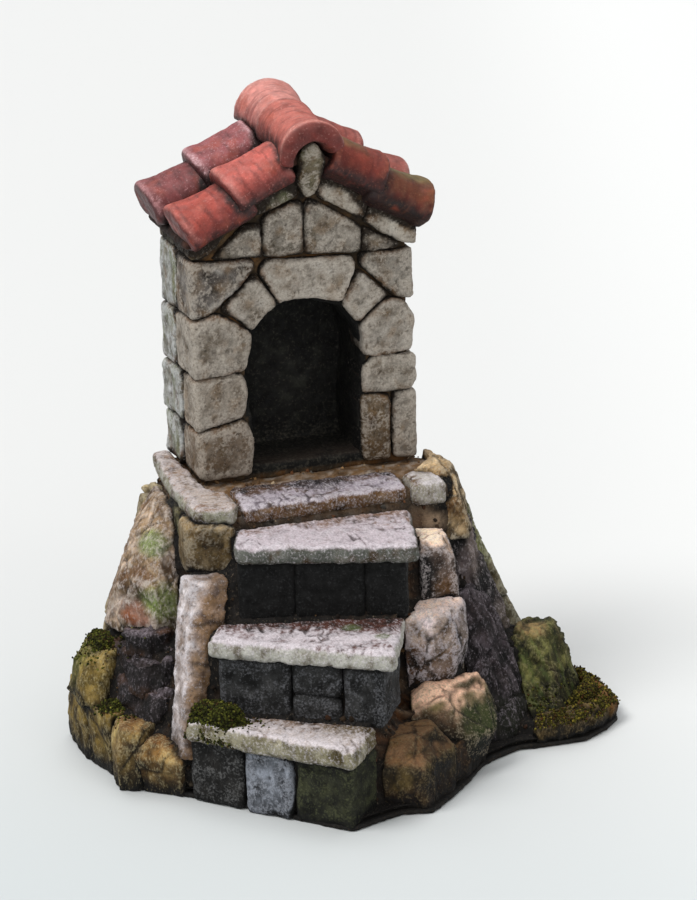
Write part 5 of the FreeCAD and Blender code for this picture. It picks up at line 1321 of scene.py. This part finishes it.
# ------------------------------------------------------------------ grit caught in the crevices
ICO_V = []
_p = (1 + 5 ** 0.5) / 2
for a_, b_ in ((-1, _p), (1, _p), (-1, -_p), (1, -_p)):
    ICO_V.append((a_, b_, 0))
for a_, b_ in ((-1, _p), (1, _p), (-1, -_p), (1, -_p)):
    ICO_V.append((0, a_, b_))
for a_, b_ in ((_p, -1), (_p, 1), (-_p, -1), (-_p, 1)):
    ICO_V.append((a_, 0, b_))
ICO_V = np.array(ICO_V, float) / math.sqrt(1 + _p * _p)
ICO_F = np.array([(0, 11, 5), (0, 5, 1), (0, 1, 7), (0, 7, 10), (0, 10, 11), (1, 5, 9), (5, 11, 4), (11, 10, 2), (10, 7, 6), (7, 1, 8),
                  (3, 9, 4), (3, 4, 2), (3, 2, 6), (3, 6, 8), (3, 8, 9), (4, 9, 5), (2, 4, 11), (6, 2, 10), (8, 6, 7), (9, 8, 1)])
rng = np.random.default_rng(41)


def grains(centres, radii, cols):
    n = len(centres)
    R = rng.normal(size=(n, 3, 3))
    Q_, _ = np.linalg.qr(R)
    sc = 0.65 + 0.7 * rng.random((n, 12, 1))
    V = np.einsum("nij,kj->nki", Q_, ICO_V) * sc * radii[:, None, None] + centres[:, None, :]
    F = ICO_F[None] + (np.arange(n) * 12)[:, None, None]
    C = np.repeat(cols[:, None, :], 12, 1)
    return V.reshape(-1, 3), F.reshape(-1, 3), C.reshape(-1, 3)


GRIT = np.array([lin(c) for c in ((56, 41, 28), (92, 68, 44), (128, 98, 64), (150, 132, 108), (38, 31, 25), (104, 66, 40), (84, 80, 74))])
GRIT_P = np.array([0.24, 0.22, 0.15, 0.09, 0.14, 0.10, 0.06])
LOOSE_BITS = {}
_w = np.clip(ground.n[:, 2] + 0.55, 0.02, 1) * (ground.v[:, 2] > 1.6) * sstep(0.03, 0.16, ground.nb + 0.06 * fbm(ground.v, 3.0, 611, 2)) + 1e-9
_i = rng.choice(len(ground.v), 5200, p=_w / _w.sum())
_r = 0.13 + 0.34 * rng.random(len(_i)) ** 2.2
_c = ground.v[_i] + ground.n[_i] * (_r * 0.25)[:, None] + rng.normal(size=(len(_i), 3)) * 0.08
_p2 = GRIT[rng.choice(len(GRIT), len(_i), p=GRIT_P)] * (0.7 + 0.5 * rng.random((len(_i), 1)))
# Painted shade: grains darker where other pieces come near, and darker away from the terrace and the warm patch.
_p2 = _p2 * (1 - 0.72 * sstep(0.20, 0.50, ground.nb[_i]))[:, None]
_lift = sstep(35.0, 37.5, _c[:, 2])
_p2 = _p2 * (1 + 0.5 * _lift)[:, None]
_near = np.exp(-(((_c[:, 0] - 4) / 9.0) ** 2 + ((_c[:, 1] + 34) / 12.0) ** 2))
_p2 = _p2 * (0.45 + 0.55 * np.clip(_lift + _near, 0, 1))[:, None]
LOOSE_BITS["rock_fill"] = grains(_c, _r, _p2)

for nm in sorted(plan):
    to_object(nm)

# ------------------------------------------------------------------ moss: mounds of loose grains
MOSS_PAL = lin_pal = np.array([lin(c) for c in ((34, 34, 14), (48, 50, 18), (62, 66, 22), (84, 86, 32), (110, 108, 44), (62, 46, 24), (26, 26, 12))])
MOSS_P = np.array([0.22, 0.22, 0.2, 0.14, 0.06, 0.10, 0.06])


def surface_points(surf_list, n, keep):
    """Random points on the skin where keep(points, normals) holds."""
    P = np.concatenate([s.v for s in surf_list])
    Nn = np.concatenate([s.n for s in surf_list])
    w = keep(P, Nn)
    w = w / w.sum()
    i = rng.choice(len(P), n, p=w)
    return P[i] + rng.normal(size=(n, 3)) * 0.12, Nn[i]


co, tri = node_arrays("moss_tufts")
tufts = loose(co, tri)
V_, F_, C_ = [], [], []
off = 0
for j, (pc, pt) in enumerate(tufts):
    big_, drop_ = [((1.25, 1.2, 1.6), 0.3), ((1.2, 1.1, 1.45), 0.2), ((1.35, 1.5, 2.3), 1.2), ((1.1, 1.1, 1.3), 0.1)][j]
    mc = pc.mean(0)
    pc = mc + (pc - mc) * big_ - (0.4 * (j == 2), 1.2 * (j == 2), drop_)
    v, q = remesh(pc, pt, 0.35)
    s = Surf(v, q, 0.35)
    s.smooth(1.0)
    s.n = s.normals()
    s.v = s.v + s.n * (0.35 * fbm(s.v, 1.6, 300 + j, 3))[:, None] - 0.15 * s.n
    s.n = s.normals()
    area = len(s.v) * 0.35 ** 2
    n = int(area * 17)
    i = rng.choice(len(s.v), n, p=(lambda w: w / w.sum())(np.clip(s.n[:, 2] + 0.6, 0.02, 1)))
    cen = s.v[i] + rng.normal(size=(n, 3)) * 0.10 + s.n[i] * rng.random((n, 1)) * 0.12
    rad = 0.11 + 0.12 * rng.random(n)
    pal = 0.86 * MOSS_PAL[rng.choice(len(MOSS_PAL), n, p=MOSS_P)] * (0.8 + 0.4 * rng.random((n, 1)))
    pal = pal * (0.75 + 0.5 * sstep(-0.4, 0.4, fbm(cen, 2.2, 400 + j, 2)))[:, None]
    if j == 3:
        pal = pal * (1.35, 1.08, 0.95)
    gv, gf, gc = grains(cen, rad, pal)
    sv, sq = s.v, s.q
    st = np.concatenate([sq[:, [0, 1, 2]], sq[:, [0, 2, 3]]])
    V_ += [sv, gv]
    F_ += [st + off, gf + off + len(sv)]
    C_ += [np.repeat(lin((34, 30, 14))[None], len(sv), 0), gc]
    off += len(sv) + len(gv)

# loose grains caught on the rock near the tufts
scatter = [
    (["toe_shelf"], 1900, lambda P, N_: np.clip(N_[:, 2] - 0.25, 0, 1) * (P[:, 2] > 2.2) * (0.3 + sstep(-0.2, 0.3, fbm(P, 3.0, 501, 2))) + 1e-9),
    (["left_boulder", "left_ledges"], 420, lambda P, N_: np.clip(N_[:, 2] - 0.3, 0, 1) * np.exp(-((P[:, 0] + 35) ** 2 + (P[:, 1] + 5) ** 2) / 18.0) + 1e-9),
    (["left_columns"], 420, lambda P, N_: np.clip(N_[:, 2] - 0.3, 0, 1) * np.exp(-((P[:, 0] + 36) ** 2 + (P[:, 1] + 13.5) ** 2) / 9.0) + 1e-9),
    (["tread_1"], 420, lambda P, N_: np.clip(N_[:, 2] - 0.4, 0, 1) * np.exp(-((P[:, 0] + 24) ** 2 + (P[:, 1] + 31) ** 2) / 14.0) + 1e-9),
    (["mossy_boulder"], 260, lambda P, N_: np.clip(N_[:, 2] - 0.3, 0, 1) * (P[:, 2] < 7) + 1e-9),
]
for names, n, keep in scatter:
    cen, nn = surface_points([s for nm in names for s in surfs[nm]], n, keep)
    rad = 0.10 + 0.13 * rng.random(n)
    pal = MOSS_PAL[rng.choice(len(MOSS_PAL), n, p=MOSS_P)] * (0.8 + 0.4 * rng.random((n, 1)))
    if names[0] == "toe_shelf":
        pal = pal * (1.35, 1.08, 0.95)
    gv, gf, gc = grains(cen + nn * 0.05, rad, pal)
    V_.append(gv)
    F_.append(gf + off)
    C_.append(gc)
    off += len(gv)
V_, F_, C_ = np.concatenate(V_), np.concatenate(F_), np.concatenate(C_)
V_ = (V_ + SHIFT) * MM
V_[:, 2] = np.maximum(V_[:, 2], 0.0)
me = bpy.data.meshes.new("moss_tufts_look")
me.from_pydata(V_.tolist(), [], F_.tolist())
me.update()
a = me.attributes.new("paint", "FLOAT_COLOR", "POINT")
rgba = np.ones((len(V_), 4))
rgba[:, :3] = np.clip(C_, 0, 1)
a.data.foreach_set("color", rgba.ravel())


def moss_material():
    m = bpy.data.materials.new("moss_flock")
    m.use_nodes = True
    nt = m.node_tree
    nt.nodes.clear()
    N, L = nt.nodes.new, nt.links.new
    tc = N("ShaderNodeTexCoord")
    at = N("ShaderNodeAttribute")
    at.attribute_name = "paint"
    nz = N("ShaderNodeTexNoise")
    nz.inputs["Scale"].default_value = 2200
    nz.inputs["Detail"].default_value = 3
    L(tc.outputs["Object"], nz.inputs["Vector"])
    mr = N("ShaderNodeMapRange")
    mr.inputs["From Min"].default_value, mr.inputs["From Max"].default_value = 0.3, 0.7
    mr.inputs["To Min"].default_value, mr.inputs["To Max"].default_value = 0.6, 1.4
    L(nz.outputs["Fac"], mr.inputs["Value"])
    hs = N("ShaderNodeHueSaturation")
    L(at.outputs["Color"], hs.inputs["Color"])
    L(mr.outputs["Result"], hs.inputs["Value"])
    rr = N("ShaderNodeMapRange")
    rr.inputs["To Min"].default_value, rr.inputs["To Max"].default_value = 0.85, 1.0
    L(nz.outputs["Fac"], rr.inputs["Value"])
    bp = N("ShaderNodeBump")
    bp.inputs["Distance"].default_value = 0.08 * MM
    L(nz.outputs["Fac"], bp.inputs["Height"])
    bs = N("ShaderNodeBsdfPrincipled")
    L(hs.outputs["Color"], bs.inputs["Base Color"])
    L(rr.outputs["Result"], bs.inputs["Roughness"])
    L(bp.outputs["Normal"], bs.inputs["Normal"])
    bs.inputs["Specular IOR Level"].default_value = 0.15
    out = N("ShaderNodeOutputMaterial")
    L(bs.outputs["BSDF"], out.inputs["Surface"])
    return m


me.materials.append(moss_material())
moss = bpy.data.objects.new("moss_tufts_look", me)
bpy.context.scene.collection.objects.link(moss)
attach(moss, "root")
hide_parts("moss_tufts")

# ------------------------------------------------------------------ floor, light, camera
fm = bpy.data.materials.new("pale_floor")
fm.use_nodes = True
nt = fm.node_tree
b_ = nt.nodes["Principled BSDF"]
nz = nt.nodes.new("ShaderNodeTexNoise")
nz.inputs["Scale"].default_value = 9.0
tcf = nt.nodes.new("ShaderNodeTexCoord")
nt.links.new(tcf.outputs["Object"], nz.inputs["Vector"])
mr = nt.nodes.new("ShaderNodeMapRange")
mr.inputs["To Min"].default_value, mr.inputs["To Max"].default_value = 0.86, 0.95
nt.links.new(nz.outputs["Fac"], mr.inputs["Value"])
nt.links.new(mr.outputs["Result"], b_.inputs["Roughness"])
# Painted light: the floor colour runs from a darker blue-grey at the front left to a paler grey at the back right.
sx = nt.nodes.new("ShaderNodeSeparateXYZ")
nt.links.new(tcf.outputs["Object"], sx.inputs["Vector"])
ma = nt.nodes.new("ShaderNodeMath")
ma.operation = "MULTIPLY_ADD"
ma.inputs[1].default_value = 0.9
nt.links.new(sx.outputs["X"], ma.inputs[0])
nt.links.new(sx.outputs["Y"], ma.inputs[2])
mg = nt.nodes.new("ShaderNodeMapRange")
mg.interpolation_type = "SMOOTHSTEP"
mg.inputs["From Min"].default_value, mg.inputs["From Max"].default_value = -0.20, 0.12
nt.links.new(ma.outputs[0], mg.inputs["Value"])
cm = nt.nodes.new("ShaderNodeMix")
cm.data_type = "RGBA"
nt.links.new(mg.outputs["Result"], cm.inputs["Factor"])
cm.inputs[6].default_value = (0.56, 0.605, 0.615, 1)
cm.inputs[7].default_value = (0.715, 0.72, 0.715, 1)
# Painted light: the floor a little brighter towards the right and the front.
mu = nt.nodes.new("ShaderNodeMath")
mu.operation = "MULTIPLY_ADD"
mu.inputs[1].default_value = -0.32
nt.links.new(sx.outputs["Y"], mu.inputs[0])
nt.links.new(sx.outputs["X"], mu.inputs[2])
mh = nt.nodes.new("ShaderNodeMapRange")
mh.interpolation_type = "SMOOTHSTEP"
mh.inputs["From Min"].default_value, mh.inputs["From Max"].default_value = 0.015, 0.10
mh.inputs["To Min"].default_value, mh.inputs["To Max"].default_value = 0.985, 1.085
nt.links.new(mu.outputs[0], mh.inputs["Value"])
hv = nt.nodes.new("ShaderNodeHueSaturation")
nt.links.new(cm.outputs[2], hv.inputs["Color"])
nt.links.new(mh.outputs["Result"], hv.inputs["Value"])
nt.links.new(hv.outputs["Color"], b_.inputs["Base Color"])
b_.inputs["Specular IOR Level"].default_value = 0.1
bpy.ops.mesh.primitive_plane_add(size=6.0, location=(0, 0, 0))
floor = bpy.context.object
floor.name = "floor"
floor.data.materials.append(fm)


def sun(name, toward, angle, strength, color=(1, 1, 1)):
    d = bpy.data.lights.new(name, "SUN")
    d.angle = math.radians(angle)
    d.energy = strength
    d.color = color
    o = bpy.data.objects.new(name, d)
    o.rotation_mode = "QUATERNION"
    o.rotation_quaternion = Vector(toward).to_track_quat("Z", "Y")
    bpy.context.scene.collection.objects.link(o)
    return o


sun("key_left", (-0.50, -0.05, 0.80), 26, 1.75, (1.0, 0.985, 0.97))
sun("top_back", (0.05, 0.35, 0.90), 60, 1.30, (0.98, 0.99, 1.0))
sun("front_fill", (-0.05, -0.95, 0.45), 70, 0.85, (1.0, 0.98, 0.95))

w = bpy.data.worlds.new("world")
w.use_nodes = True
w.node_tree.nodes["Background"].inputs["Color"].default_value = (0.96, 0.985, 1.0, 1)
w.node_tree.nodes["Background"].inputs["Strength"].default_value = 0.34
bpy.context.scene.world = w
bpy.context.scene.view_settings.view_transform = "Standard"

az, el, roll = math.radians(17.8), math.radians(17.8), math.radians(1.5)
d = np.array([math.sin(az) * math.cos(el), math.cos(az) * math.cos(el), -math.sin(el)])
r0 = np.array([math.cos(az), -math.sin(az), 0.0])
u0 = np.cross(r0, d)
r = r0 * math.cos(roll) - u0 * math.sin(roll)
u = u0 * math.cos(roll) + r0 * math.sin(roll)
cam = bpy.data.cameras.new("camera")
cam.lens = 140.0
cam.sensor_width = 36.0
cam.clip_start, cam.clip_end = 0.01, 20.0
co_ = bpy.data.objects.new("camera", cam)
bpy.context.scene.collection.objects.link(co_)
loc = np.array([-0.152588, -0.475655, 0.2064415])
co_.matrix_world = Matrix(((r[0], u[0], -d[0], loc[0]), (r[1], u[1], -d[1], loc[1]), (r[2], u[2], -d[2], loc[2]), (0, 0, 0, 1)))
bpy.context.scene.camera = co_
